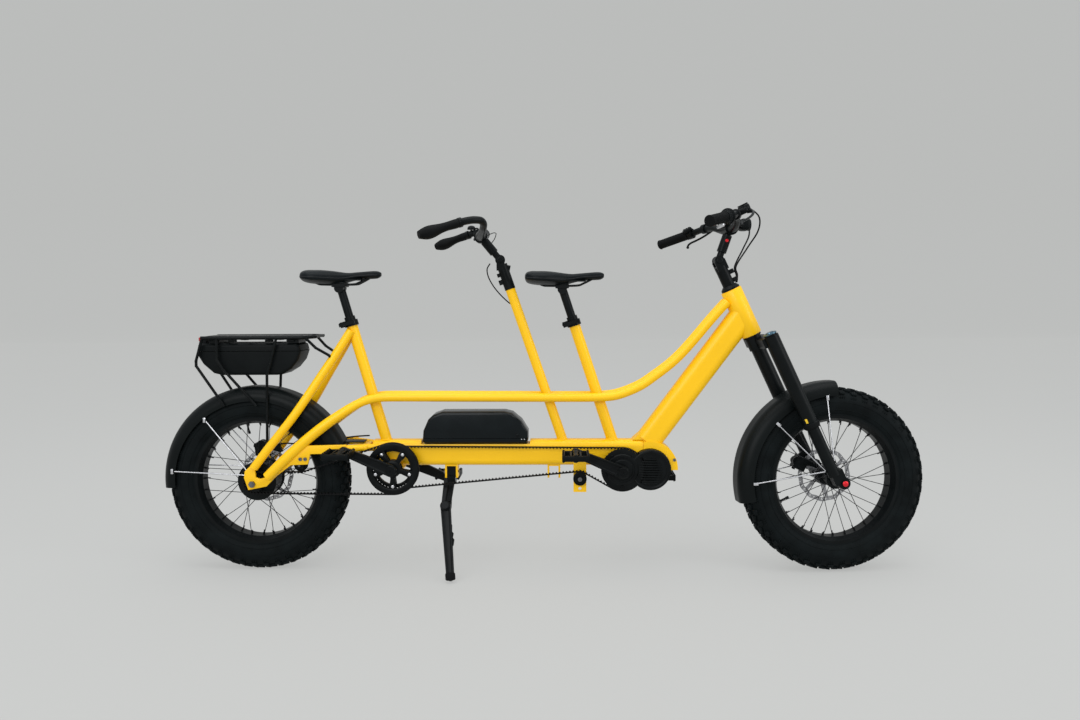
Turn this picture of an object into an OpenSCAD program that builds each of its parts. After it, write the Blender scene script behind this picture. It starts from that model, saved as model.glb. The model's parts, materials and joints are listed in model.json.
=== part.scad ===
// Fat-tyre tandem bicycle with a mid motor, belt drive and a boom battery.
// X runs forward, Y to the rider's left and Z up. The origin is on the ground,
// in the centre plane, half way between the tail and the front tyre.

/* [Overall] */
// Distance between the two wheel axles
wheelbase = 1888; // [1800:1:2050]
// Turn of the fork and bar to the left at rest, in degrees
steer_turn = 6; // [0:0.5:12]
// Lean of the head tube from the vertical, in degrees
head_angle = 25; // [22:0.5:28]

/* [Wheels] */
// Outer radius of the tyres
tyre_r = 300; // [294:1:306]
// Width of the tyres
tyre_w = 98; // [90:1:100]
// Radius where the tyre's bead sits on the rim
bead_r = 203; // [200:0.5:206]
// Width of the rims
rim_w = 78; // [72:1:82]
// Height of the rims from the bead down to the well
rim_h = 13; // [10:1:16]
// Number of spokes in a wheel
spoke_count = 32; // [24:4:36]
// Radius of the spokes
spoke_r = 1.1; // [1:0.1:1.3]
// Radius of the brake rotors
rotor_r = 90; // [80:1:92]
// Radius of the rear gear hub's shell
rear_hub_r = 60; // [54:1:64]
// Radius of the front hub's barrel
front_hub_r = 21; // [18:1:26]

/* [Frame] */
// Length of the head tube
head_length = 162; // [150:1:180]
// Outer radius of the head tube
head_r = 30; // [29:0.5:33]
// Height of the down tube across its length
down_h = 84; // [74:1:90]
// Width of the down tube
down_w = 62; // [56:1:66]
// Height of the boom
boom_h = 84; // [78:1:90]
// Width of the boom
boom_w = 62; // [56:1:64]
// Height of the boom's middle above the ground
boom_z = 390; // [384:1:396]
// Wall of the large frame tubes
frame_wall = 2.2; // [1.6:0.1:3]
// Outer radius of the seat tubes
seat_tube_r = 18; // [17:0.5:19]
// Outer radius of the stoker's bar post
bar_post_r = 16; // [15.6:0.2:18]
// Outer radius of the twin side rails
rail_r = 14.3; // [13:0.1:15]
// Outer radius of the seat stays
stay_r = 14; // [12:0.5:15]
// Half distance between the dropouts' middles
dropout_y = 80; // [79:0.5:82]
// Thickness of the dropouts
dropout_t = 8; // [6:0.5:10]

/* [Drive] */
// Height of the front crank axis above the ground
front_bb_z = 340; // [334:1:344]
// Height of the rear crank axis above the ground
rear_bb_z = 346; // [342:1:350]
// Distance from the rear axle to the rear crank axis
rear_bb_x = 455; // [445:1:470]
// Distance from the rear crank axis to the front one
bb_gap = 745; // [735:1:780]
// Distance from the front crank axis to the motor's axis
motor_gap = 91; // [88:1:94]
// Radius of the motor's cover
motor_r = 67; // [62:1:68]
// Length of a crank arm between its axes
crank_arm = 165; // [160:1:172]
// Rise of the near crank arms behind the axis at rest, in degrees
crank_rest = 23; // [20:1:26]
// Pitch of the belts' teeth
belt_pitch = 11; // [10:0.5:11]
// Width of the belts
belt_w = 11; // [9:0.5:12]
// Teeth on each timing sprocket
timing_teeth = 40; // [36:4:40]
// Teeth on the drive sprocket
drive_teeth = 48; // [44:4:48]
// Teeth on the hub's cog
cog_teeth = 20; // [20:4:24]
// Radius of the two belt idlers
idler_r = 22; // [19:0.5:23]
// Distance from the centre plane to the timing belt
timing_y = 47; // [46:0.5:48]
// Distance from the centre plane to the drive belt
drive_y = 63; // [62.5:0.5:64]

/* [Fork] */
// Distance along the steering axis from the front axle to the head tube
fork_length = 540; // [530:1:560]
// Distance of the front axle ahead of the steering axis
fork_rake = 43; // [38:1:50]
// Distance of the legs ahead of the steering axis
leg_ahead = 28; // [24:1:32]
// Half distance between the fork's legs
leg_y = 90; // [88:1:94]
// Outer radius of the upper fork tubes
upper_leg_r = 24; // [23:0.5:26]
// Radius of the sliding lower legs
lower_leg_r = 19; // [17:0.5:20]
// Travel of the fork
fork_travel = 60; // [40:1:70]

/* [Riders] */
// Radius of the two seatposts
seatpost_r = 13.6; // [12.5:0.1:15]
// Lean of the rear seat tube from the vertical, in degrees
rear_seat_lean = 15.6; // [14:0.2:18]
// Lean of the front seat tube from the vertical, in degrees
front_seat_lean = 18; // [15:0.2:19]
// Height of the rear saddle's top above the ground
rear_saddle_z = 992; // [960:1:1020]
// Height of the front saddle's top above the ground
front_saddle_z = 983; // [950:1:1010]
// Radius of both handlebars at their clamps
bar_clamp_r = 15.9; // [15.4:0.1:16]
// Radius of the front handlebar outside its clamp
bar_r = 11.1; // [11:0.1:12.7]
// Half width of the front handlebar
bar_half = 326; // [310:1:350]
// Half width of the stoker's handlebar
stoker_half = 310; // [295:1:325]
// Turn of the stoker's bar to the left, in degrees
stoker_turn = 4; // [0:0.5:6]

/* [Fittings] */
// Clearance round a turning or sliding shaft
run = 0.05; // [0.02:0.01:0.1]
// Gap between neighbours that pass each other
gap = 0.4; // [0.3:0.1:0.8]
// Crown radius of the rear mudguard
rear_guard_r = 313; // [312:1:318]
// Crown radius of the front mudguard
front_guard_r = 321; // [320:1:326]
// Width of both mudguards
guard_w = 114; // [112:1:116]
// Wall of both mudguards
guard_t = 2.6; // [2:0.2:3]
// Height of the rack's deck above the ground
rack_z = 780; // [770:1:790]
// Radius of the rack's deck tube
rack_tube_r = 6; // [5:0.5:6.5]
// Radius of the rack's legs
rack_leg_r = 4.5; // [4:0.5:5]
// Length of the boom battery
battery_l = 346; // [330:1:352]
// Width of the boom battery
battery_w = 84; // [76:1:88]
// Height of the boom battery
battery_h = 104; // [96:1:108]
// Radius of the bolt holes in the frame's brackets
bracket_hole_r = 5.25; // [4.2:0.05:5.5]

/* [Hidden] */
$fn = 48;

yellow = [0.95, 0.76, 0.03];
black = [0.06, 0.06, 0.065];
dark = [0.12, 0.12, 0.13];
steel = [0.62, 0.63, 0.65];

// Places along the bicycle, measured from the rear axle
origin_x = (wheelbase + tyre_r - rear_guard_r) / 2;
rear_axle = [0, 0, tyre_r];
front_axle = [wheelbase, 0, tyre_r + 0.4];
front_bb_x = rear_bb_x + bb_gap;
front_bb = [front_bb_x, 0, front_bb_z];
rear_bb = [rear_bb_x, 0, rear_bb_z];
motor_c = [front_bb_x + motor_gap, 0, front_bb_z - 2];

// The steering axis
head_up = [-sin(head_angle), 0, cos(head_angle)];
head_ahead = [cos(head_angle), 0, sin(head_angle)];
head_low = front_axle + fork_length * head_up - fork_rake * head_ahead;

// The boom
boom_top = boom_z + boom_h / 2;
boom_low = boom_z - boom_h / 2;
boom_x0 = rear_bb_x - 70;
boom_x1 = front_bb_x + 70;

// Seat tubes and the stoker's bar post meet the boom's top at these places
rear_tube_x = rear_bb_x - 32;
front_tube_x = front_bb_x - 31;
post_x = front_bb_x - 194;
rear_seat = [[rear_tube_x, 0, boom_top], rear_seat_lean, 404];
front_seat = [[front_tube_x, 0, boom_top], front_seat_lean, 406];
// A seat is its foot on the boom, its lean and its tube's length
function lean_up(a) = [-sin(a), 0, cos(a)];
function seat_mouth(q) = q[0] + q[2] * lean_up(q[1]);
post_lean = 18.7;
post_up = [-sin(post_lean), 0, cos(post_lean)];
post_l = 520;
post_wall = 2;
stem_quill_r = bar_post_r - post_wall - 0.01;

// Sprockets
timing_pr = timing_teeth * belt_pitch / (2 * PI);
drive_pr = drive_teeth * belt_pitch / (2 * PI);
cog_pr = cog_teeth * belt_pitch / (2 * PI);
belt_in = 0.4;
belt_out = 2.4;
tip_in = 1.2;
spindle_r = 12;
arm_y = 96;
arm_t = 13;
pedal_y = arm_y + arm_t / 2 + 52;

// Idlers press on the backs of the belts
front_idler_c = [front_bb_x - 137, 0, 309];
rear_idler_c = [155, 0, tyre_r + cog_pr + belt_out + idler_r + gap];

// Battery pocket in the boom's top
pocket_l = battery_l + 12;
pocket_d = 12;
pocket_x = rear_bb_x + 88;
battery_z = boom_top - pocket_d + 4;

// Kickstand
stand_x = rear_bb_x + 171;
stand_pivot = [stand_x, -56, 219];
stand_foot = [stand_x + 26, -158, 0];

// Rack
rack_x0 = -158;
rack_x1 = 172;
rack_half = 66;

// Steering parts, in the steering axis's own frame: X ahead, Z up the axis
steerer_r = 14.3;
crown_low = -52;
crown_high = -10;
cover_t = 9;
stem_pivot = [2, 0, head_length + 101];
bar_clamp = [stem_pivot[0] + 77, 0, stem_pivot[2] + 77];
shift_in = 176;
shift_out = 214;
axle_down = -fork_length;
upper_leg_low = -330;

// ---------- shared shapes ----------

// Places what is drawn from the rear axle into the part's own frame
module bike() {
    translate([-origin_x, 0, 0]) children();
}

// Frame of the steering axis, straight ahead
module at_head() {
    translate(head_low) rotate([0, -head_angle, 0]) children();
}

// Frame of the steering axis, turned as it rests
module steered() {
    at_head() rotate([0, 0, steer_turn]) children();
}

// Cylinder between two points
module rod(a, b, r) {
    v = b - a;
    translate(a)
        rotate([0, acos(v[2] / norm(v)), atan2(v[1], v[0])])
            cylinder(h = norm(v), r = r);
}

// Open tube between two points
module pipe(a, b, r, wall) {
    u = (b - a) / norm(b - a);
    difference() {
        rod(a, b, r);
        rod(a - u, b + u, r - wall);
    }
}

// Cylinder across the bicycle, from y0 to y1
module cross(c, y0, y1, r) {
    translate([c[0], y0, c[2]]) rotate([-90, 0, 0]) cylinder(h = y1 - y0, r = r);
}

// Disc across the bicycle with a bevelled edge, outer face towards y1
module bevel_disc(c, y0, y1, r, bevel) {
    s = y1 > y0 ? -1 : 1;
    translate([c[0], y0, c[2]])
        rotate([90 * s, 0, 0])
            rotate_extrude()
                polygon([[0, 0], [r, 0], [r, abs(y1 - y0) - bevel], [r - bevel, abs(y1 - y0)], [0, abs(y1 - y0)]]);
}

// Rounded rectangle with true arcs at its corners
module round_rect(w, h, r) {
    square([w - 2 * r, h], center = true);
    square([w, h - 2 * r], center = true);
    for (sx = [-1, 1])
        for (sy = [-1, 1])
            translate([sx * (w / 2 - r), sy * (h / 2 - r)]) circle(r = r);
}

// Points of a smooth curve through hand-placed points
function knot(p, i) = p[max(0, min(len(p) - 1, i))];
function spline_at(p, i, t) =
    0.5 * (2 * knot(p, i) + t * (knot(p, i + 1) - knot(p, i - 1))
        + t * t * (2 * knot(p, i - 1) - 5 * knot(p, i) + 4 * knot(p, i + 1) - knot(p, i + 2))
        + t * t * t * (3 * knot(p, i) - knot(p, i - 1) - 3 * knot(p, i + 1) + knot(p, i + 2)));
function smooth(p, n) = concat([for (i = [0 : len(p) - 2]) for (k = [0 : n - 1]) spline_at(p, i, k / n)], [p[len(p) - 1]]);

// Tube swept along a path; a wall of 0 makes it solid
function unit(v) = v / norm(v);
function along(p, i) = unit(knot(p, i + 1) - knot(p, i - 1));
function ring(p, i, r, sides, ref) =
    let (t = along(p, i), a = unit(cross(ref, t)), b = cross(t, a))
    [for (j = [0 : sides - 1]) p[i] + r * (cos(360 * j / sides) * a + sin(360 * j / sides) * b)];
function at(r, i) = is_list(r) ? r[i] : r;
function flip(p, s) = [for (q = p) [q[0], s * q[1], q[2]]];

module sweep(p, r, sides, wall = 0, ref = [0, 1, 0]) {
    n = len(p);
    outer = [for (i = [0 : n - 1]) each ring(p, i, at(r, i), sides, ref)];
    inner = wall > 0 ? [for (i = [0 : n - 1]) each ring(p, i, at(r, i) - wall, sides, ref)] : [];
    m = n * sides;
    skin = [for (i = [0 : n - 2]) for (j = [0 : sides - 1])
        let (k = (j + 1) % sides)
        [i * sides + j, (i + 1) * sides + j, (i + 1) * sides + k, i * sides + k]];
    last = (n - 1) * sides;
    if (wall > 0) {
        bore = [for (f = skin) [m + f[0], m + f[3], m + f[2], m + f[1]]];
        low = [for (j = [0 : sides - 1]) let (k = (j + 1) % sides) [j, k, m + k, m + j]];
        high = [for (j = [0 : sides - 1]) let (k = (j + 1) % sides) [last + k, last + j, m + last + j, m + last + k]];
        polyhedron(points = concat(outer, inner), faces = concat(skin, bore, low, high));
    } else {
        low = [[for (j = [0 : sides - 1]) j]];
        high = [[for (j = [sides - 1 : -1 : 0]) last + j]];
        polyhedron(points = outer, faces = concat(skin, low, high));
    }
}

// Hexagon-socket bolt head and shank across the bicycle, head towards the side of s
module side_bolt(c, y, s, r, l) {
    translate([c[0], y, c[2]])
        rotate([s > 0 ? -90 : 90, 0, 0])
            difference() {
                union() {
                    cylinder(h = r * 1.1, r = r * 1.7);
                    translate([0, 0, -l]) cylinder(h = l + 0.5, r = r);
                }
                translate([0, 0, r * 0.4]) cylinder(h = r * 2, r = r * 0.9, $fn = 6);
            }
}

// ---------- frame ----------

down_dir = [cos(53.4), 0, sin(53.4)];
down_high = head_low + (head_length * 0.43) * head_up;
down_low_l = 512;
down_low = down_high - down_low_l * down_dir;

module down_profile(w, h, r) {
    translate(down_low)
        rotate([0, 36.6, 0])
            linear_extrude(height = down_low_l)
                round_rect(h, w, r);
}

module front_frame() {
    eye = [motor_c[0] + motor_r + 12, 0, motor_c[2] + 30];
    bike() color(yellow)
        difference() {
            union() {
                at_head() cylinder(h = head_length, r = head_r);
                down_profile(down_w, down_h, 26);
                cross(motor_c, -33, 33, motor_r + 24);
                // gusset between the boom's end and the down tube
                translate([0, 24, 0])
                    rotate([90, 0, 0])
                        linear_extrude(height = 48)
                            polygon([[boom_x1 - 40, boom_top - 4], [boom_x1 + 4, boom_top + 34], [boom_x1 + 60, boom_top + 40], [boom_x1 + 60, boom_top - 10]]);
            }
            at_head() translate([0, 0, -1]) cylinder(h = head_length + 2, r = head_r - 4);
            translate(down_dir * 70) down_profile(down_w - 2 * frame_wall, down_h - 2 * frame_wall, 26 - frame_wall);
            cross(motor_c, -60, 60, motor_r + 1);
            // open below and behind the motor
            translate([motor_c[0] - 200, -60, motor_c[2] - 204]) cube([400, 120, 200]);
            translate([boom_x0, -60, boom_low - 60]) cube([boom_x1 - boom_x0 + gap, 120, boom_top - boom_low + 60 + gap]);
            cross(eye, -60, 60, 3);
        }
}

module boom_profile(w, h, r, l) {
    rotate([90, 0, 90]) linear_extrude(height = l) round_rect(w, h, r);
}

module boom() {
    bike() color(yellow) {
        difference() {
            union() {
                translate([boom_x0, 0, boom_z]) boom_profile(boom_w, boom_h, 20, boom_x1 - boom_x0);
                cross(rear_bb, -37, 37, 27);
                for (x = [stand_x - 7, stand_x + 14 + 324 - 7])
                    translate([x, -19, boom_low - 42]) cube([42, 38, 50]);
                translate([front_idler_c[0] - 21, -38, front_idler_c[2] - 46]) cube([42, 8, 110]);
            }
            translate([boom_x0 - 1, 0, boom_z])
                boom_profile(boom_w - 2 * frame_wall, boom_h - 2 * frame_wall, 20 - frame_wall, pocket_x - boom_x0 - 8);
            translate([pocket_x + pocket_l + 8, 0, boom_z])
                boom_profile(boom_w - 2 * frame_wall, boom_h - 2 * frame_wall, 20 - frame_wall, 300);
            translate([pocket_x - 8, 0, boom_z - 8])
                boom_profile(boom_w - 2 * frame_wall, boom_h - 2 * frame_wall - 16, 14, pocket_l + 18);
            translate([pocket_x, -60, boom_top - pocket_d]) cube([pocket_l, 120, 40]);
            cross(rear_bb, -60, 60, spindle_r + run);
            cross(front_bb, -60, 60, 57);
            cross(motor_c, -60, 60, motor_r + 1);
            for (x = [stand_x - 1, stand_x + 14 + 324 - 1])
                translate([x, -60, boom_low - 60]) cube([30, 120, 57]);
            for (x = [stand_x + 14, stand_x + 14 + 324 + 14])
                translate([x, 0, boom_low - 24]) rotate([0, 90, 0]) cylinder(h = 90, r = bracket_hole_r, center = true);
            cross([front_idler_c[0], 0, front_idler_c[2] - 35], -60, 0, bracket_hole_r);
            cross(front_idler_c, -60, 0, 4);
        }
    }
}

// Seat tube standing on the boom, bored for its seatpost
module seat_tube(q) {
    up = lean_up(q[1]);
    difference() {
        rod(q[0] - 12 * up, seat_mouth(q), seat_tube_r);
        rod(q[0] - 30 * up, seat_mouth(q) + 5 * up, seatpost_r + run);
        translate(q[0] - [100, 60, 60]) cube([200, 120, 60 - 0.4]);
    }
}

// Both seat tubes and the stoker's bar post
module posts() {
    foot = [post_x, 0, boom_top];
    bike() color(yellow) {
        seat_tube(rear_seat);
        seat_tube(front_seat);
        difference() {
            rod(foot - 12 * post_up, foot + post_l * post_up, bar_post_r);
            rod(foot - 30 * post_up, foot + (post_l + 5) * post_up, bar_post_r - post_wall);
            translate(foot - [100, 60, 60]) cube([200, 120, 60 - 0.4]);
        }
    }
}

// One side rail: from the head tube, along the posts, and out to the dropout
rail_y = seat_tube_r + rail_r - 1;
rail_z = 572;
rail_points = [
    [head_low[0] - 82, 18, head_low[2] + 108],
    [head_low[0] - 125, 18, head_low[2] + 62],
    [head_low[0] - 182, 18, head_low[2] - 8],
    [head_low[0] - 246, 20, head_low[2] - 82],
    [front_bb_x + 113, 23, rail_z + 74],
    [front_bb_x + 83, 25, rail_z + 51],
    [front_bb_x + 53, 28, rail_z + 32],
    [front_bb_x - 8, rail_y - 1, rail_z + 9],
    [front_bb_x - 60, rail_y, rail_z + 1],
    [front_bb_x - 400, rail_y, rail_z + 2],
    [rear_bb_x - 5, rail_y, rail_z + 4],
    [413, rail_y + 2, rail_z + 3],
    [381, rail_y + 7, rail_z - 1],
    [350, rail_y + 15, rail_z - 11],
    [320, rail_y + 25, rail_z - 27],
    [257, rail_y + 41, rail_z - 68],
    [158, dropout_y + 2, rail_z - 146],
    [96, dropout_y + 6, tyre_r + 68],
    [48, dropout_y + 7, tyre_r + 20]
];
// The rails swell by this much towards the dropouts
rail_swell = 2.6;
function rail_radius(x) = rail_r + rail_swell * max(0, min(1, (350 - x) / 120));

module rails() {
    path = smooth(rail_points, 2);
    bike() color(yellow)
        for (s = [-1, 1])
            sweep(flip(path, s), [for (q = path) rail_radius(q[0])], 14, 1.8);
}

// Stays and dropout of one side
stay_points = [
    [318, 17, 794], [270, 30, 718], [222, 46, 645], [172, 64, 568],
    [128, 74, 506], [60, dropout_y + 3, 421], [4, dropout_y + 5, 350]
];

module dropout_plate() {
    difference() {
        rotate([90, 0, 0])
            linear_extrude(height = dropout_t, center = true)
                polygon([
                    [-24, tyre_r + 42], [-14, tyre_r - 20], [46, tyre_r - 8], [80, tyre_r + 26],
                    [128, tyre_r + 66], [184, tyre_r + 68], [192, tyre_r + 100], [310, tyre_r + 100],
                    [310, tyre_r + 128], [196, tyre_r + 124], [150, tyre_r + 124], [52, tyre_r + 28],
                    [18, tyre_r + 20], [10, tyre_r + 50], [-4, tyre_r + 60]
                ]);
        cross(rear_axle, -30, 30, 6 + run);
    }
}

module rear_stays() {
    bike() color(yellow) {
        for (s = [-1, 1]) {
            difference() {
                sweep(flip(smooth(stay_points, 2), s), stay_r, 16, 1.8);
                rod(seat_mouth(rear_seat) - 140 * lean_up(rear_seat_lean), seat_mouth(rear_seat), seat_tube_r - 0.3);
            }
            translate([0, s * dropout_y, 0]) dropout_plate();
            rod([300, s * (dropout_y - 3), tyre_r + 114], [boom_x0 + 30, s * 20, boom_top - 22], 12);
        }
        translate([boom_x0 - 36, -58, boom_top - 32]) cube([22, 116, 20]);
    }
}

// ---------- motor and drive ----------

module motor() {
    bike() color(black)
        difference() {
            union() {
                cross(motor_c, -38, 40, motor_r);
                bevel_disc(motor_c, -38, -54, motor_r, 6);
                bevel_disc(motor_c, 40, 46, motor_r - 8, 4);
                cross(front_bb, -36, 38, 54);
                translate([front_bb_x, -34, front_bb_z - 50]) cube([motor_gap, 68, 60]);
                bevel_disc(front_bb, 38, 44, 30, 3);
            }
            cross(front_bb, -80, 80, spindle_r + run);
            cross(front_bb, -100, -36, timing_pr + 6);
            for (i = [-4 : 4])
                translate([motor_c[0] - 28 + abs(i) * 2.4, -60, motor_c[2] + i * 8 - 1.4])
                    cube([56 - abs(i) * 4.8, 10, 2.8]);
        }
}

// Sprocket blank with tooth tips just inside the belt
module sprocket(c, y, pr, inner_r) {
    difference() {
        cross(c, y - belt_w / 2, y + belt_w / 2, pr - tip_in);
        cross(c, y - 20, y + 20, inner_r);
        for (s = [-1, 1])
            translate([c[0], y + s * belt_w / 2, c[2]])
                rotate([90, 0, 0])
                    difference() {
                        cylinder(h = 6, r = pr - 8, center = true);
                        cylinder(h = 8, r = inner_r + 6, center = true);
                    }
    }
}

module spider(c, y, r, t, arms) {
    cross(c, y - t / 2, y + t / 2, spindle_r + 10);
    for (k = [0 : arms - 1])
        translate([c[0], y, c[2]])
            rotate([0, 90 / arms + k * 360 / arms, 0])
                translate([0, -t / 2, -9]) cube([r, t, 18]);
}

function arm_end(c, s) = c + [s * crank_arm * cos(crank_rest), s * arm_y, -s * crank_arm * sin(crank_rest)];

// Tapered arm with an eye for the pedal; s is -1 on the near side
module crank_arm_solid(c, s) {
    e = arm_end(c, s);
    difference() {
        union() {
            translate([c[0], s * arm_y, c[2]]) rotate([90, 0, 0]) cylinder(h = arm_t, r = 20, center = true);
            translate([e[0], s * arm_y, e[2]]) rotate([90, 0, 0]) cylinder(h = arm_t, r = 14, center = true);
            translate([c[0], s * arm_y, c[2]])
                rotate([0, crank_rest, 0])
                    rotate([90, 0, 0])
                        linear_extrude(height = arm_t, center = true)
                            polygon([[0, -17], [s * crank_arm, -12], [s * crank_arm, 12], [0, 17]]);
        }
        translate([e[0], s * arm_y, e[2]]) rotate([90, 0, 0]) cylinder(h = 40, r = 7 + run, center = true);
    }
}

module front_crank() {
    bike() color(black) {
        cross(front_bb, -arm_y, arm_y, spindle_r);
        for (s = [-1, 1]) crank_arm_solid(front_bb, s);
        sprocket(front_bb, -timing_y, timing_pr, timing_pr - 16);
        difference() {
            spider(front_bb, -timing_y, timing_pr - 12, 5, 5);
            cross(front_bb, -60, -30, spindle_r - 1);
        }
        bevel_disc(front_bb, -timing_y - 7, -timing_y - 14, 52, 3);
        cross(front_bb, -timing_y - 14, -timing_y - 2, 24);
    }
}

module rear_crank() {
    bike() color(black) {
        cross(rear_bb, -arm_y, arm_y, spindle_r);
        for (s = [-1, 1]) crank_arm_solid(rear_bb, s);
        sprocket(rear_bb, -timing_y, timing_pr, timing_pr - 16);
        sprocket(rear_bb, -drive_y, drive_pr, drive_pr - 18);
        spider(rear_bb, -timing_y, timing_pr - 12, 5, 5);
        spider(rear_bb, -drive_y, drive_pr - 14, 5, 5);
        for (k = [0 : 4])
            let (a = 18 + k * 72, q = rear_bb + [58 * cos(a), 0, -58 * sin(a)])
                cross(q, -drive_y - 6, -timing_y, 5);
    }
}

// Platform pedal on its own axle, outward on the side of s
module pedal(c, s) {
    e = arm_end(c, s);
    y0 = s * (arm_y + arm_t / 2 + gap);
    bike() color(black)
        translate([e[0], 0, e[2]]) {
            translate([0, s * (arm_y - 4), 0]) rotate([s > 0 ? -90 : 90, 0, 0]) cylinder(h = 112, r = 7);
            translate([0, y0, 0]) rotate([s > 0 ? -90 : 90, 0, 0]) cylinder(h = 6, r = 11);
            translate([0, s * pedal_y, 0])
                rotate([0, 8, 0])
                    difference() {
                        union() {
                            cube([30, 92, 24], center = true);
                            for (q = [-1, 1]) translate([q * 36, 0, 0]) cube([14, 92, 26], center = true);
                            for (q = [-1, 1]) translate([0, q * 42, 0]) cube([76, 8, 20], center = true);
                        }
                        for (q = [-1, 1]) translate([q * 43.5, 0, 0]) cube([2, 60, 12], center = true);
                    }
        }
}

// A belt's wheels in anticlockwise order: centre and signed pitch radius,
// negative where the wheel presses on the belt's back
idler_pr = idler_r + gap + belt_out;
function flat_point(c) = [c[0], c[2]];
function run_angle(w, v) =
    let (d = v[0] - w[0]) atan2(d[1], d[0]) - asin((v[1] - w[1]) / norm(d));
function turn(a) = a < 0 ? a + 360 : a >= 360 ? a - 360 : a;
function belt_line(w, d) =
    let (n = len(w), t = [for (i = [0 : n - 1]) run_angle(w[i], w[(i + 1) % n])])
    [for (i = [0 : n - 1])
        let (inside = w[i][1] > 0, q = inside ? 90 : -90, a0 = t[(i + n - 1) % n] - q, a1 = t[i] - q,
            wrap = inside ? turn(a1 - a0) : -turn(a0 - a1), steps = ceil(abs(wrap) / 9))
        for (k = [0 : steps]) w[i][0] + abs(w[i][1] + d) * [cos(a0 + wrap * k / steps), sin(a0 + wrap * k / steps)]];

module belt(y, wheels) {
    translate([0, -y, 0])
        rotate([90, 0, 0])
            linear_extrude(height = belt_w, center = true)
                difference() {
                    polygon(belt_line(wheels, belt_out));
                    polygon(belt_line(wheels, -belt_in));
                }
}

module belts() {
    bike() color(black) {
        belt(timing_y, [
            [flat_point(front_bb), timing_pr], [flat_point(rear_bb), timing_pr], [flat_point(front_idler_c), -idler_pr]
        ]);
        belt(drive_y, [
            [flat_point(rear_bb), drive_pr], [flat_point(rear_idler_c), -idler_pr], [flat_point(rear_axle), cog_pr]
        ]);
    }
}

module idler(c, y) {
    bike() color(black)
        difference() {
            union() {
                cross(c, -y - belt_w / 2, -y + belt_w / 2, idler_r);
                cross(c, -y - belt_w / 2 - 1.5, -y + belt_w / 2 + 1.5, 13);
            }
            cross(c, -y - 20, -y + 20, 4 + run);
        }
}

module front_idler() idler(front_idler_c, timing_y);

module rear_idler() idler(rear_idler_c, drive_y);

// ---------- fittings fixed to the frame ----------

collar_lug = [-26, 0, -6];
module collar(q) {
    up = lean_up(q[1]);
    high = seat_mouth(q);
    lug = high - 3 * up + collar_lug;
    difference() {
        union() {
            rod(high - 14 * up, high + 5 * up, seat_tube_r + 5);
            rod(high + 4 * up, high + 18 * up, seatpost_r + 4);
            translate(lug) rotate([0, -q[1], 0]) cube([18, 16, 18], center = true);
        }
        rod(high - 30 * up, high, seat_tube_r + 0.01);
        rod(high - 30 * up, high + 30 * up, seatpost_r + 0.2);
        translate(lug - [4, 0, 0]) rotate([0, -q[1], 0]) cube([34, 2.4, 60], center = true);
        translate(lug - [3, 0, 0]) rotate([90, 0, 0]) cylinder(h = 60, r = 2.5 + run, center = true);
    }
}

module fittings() {
    bike() color(black) {
        collar(rear_seat);
        collar(front_seat);
        // headset cups
        at_head()
            difference() {
                union() {
                    translate([0, 0, -6]) cylinder(h = 6, r = head_r);
                    translate([0, 0, -6]) cylinder(h = 30, r = head_r - 4.01);
                    translate([0, 0, head_length]) cylinder(h = 5, r = head_r);
                    translate([0, 0, head_length - 20]) cylinder(h = 22, r = head_r - 4.01);
                }
                translate([0, 0, -20]) cylinder(h = head_length + 60, r = steerer_r + run);
            }
        // battery rail in the boom's pocket
        translate([pocket_x + 10, -22, boom_top - pocket_d]) cube([pocket_l - 20, 44, 3.6]);
        // kickstand plate under the boom and its pivot block
        difference() {
            union() {
                translate([stand_x, -15, boom_low - 40]) cube([28, 30, 36]);
                translate([stand_x + 1, -24, boom_low - 60]) cube([26, 40, 24]);
                rod([stand_x + 14, -8, boom_low - 50], stand_pivot + [6, 6, 14], 11);
                rod(stand_pivot, stand_pivot + 14 * stand_axis, 15);
            }
            stand_bore();
            translate([stand_x + 14, 0, boom_low - 24]) rotate([0, 90, 0]) cylinder(h = 90, r = 4, center = true);
        }
        // bracket of the rear idler
        difference() {
            union() {
                translate([rear_idler_c[0] - 12, -dropout_y + dropout_t / 2 - 1.2, rear_idler_c[2] - 12]) cube([24, 5, 26]);
                cross(rear_idler_c, -dropout_y + 2, -drive_y - belt_w / 2 - 2, 9);
            }
            cross(rear_idler_c, -90, -40, 4);
        }
    }
}

// The stand's skewed pivot
stand_axis = [0, 0.911, -0.412];
module stand_bore() {
    rod(stand_pivot - 30 * stand_axis, stand_pivot + 40 * stand_axis, 5 + run);
}

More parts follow.
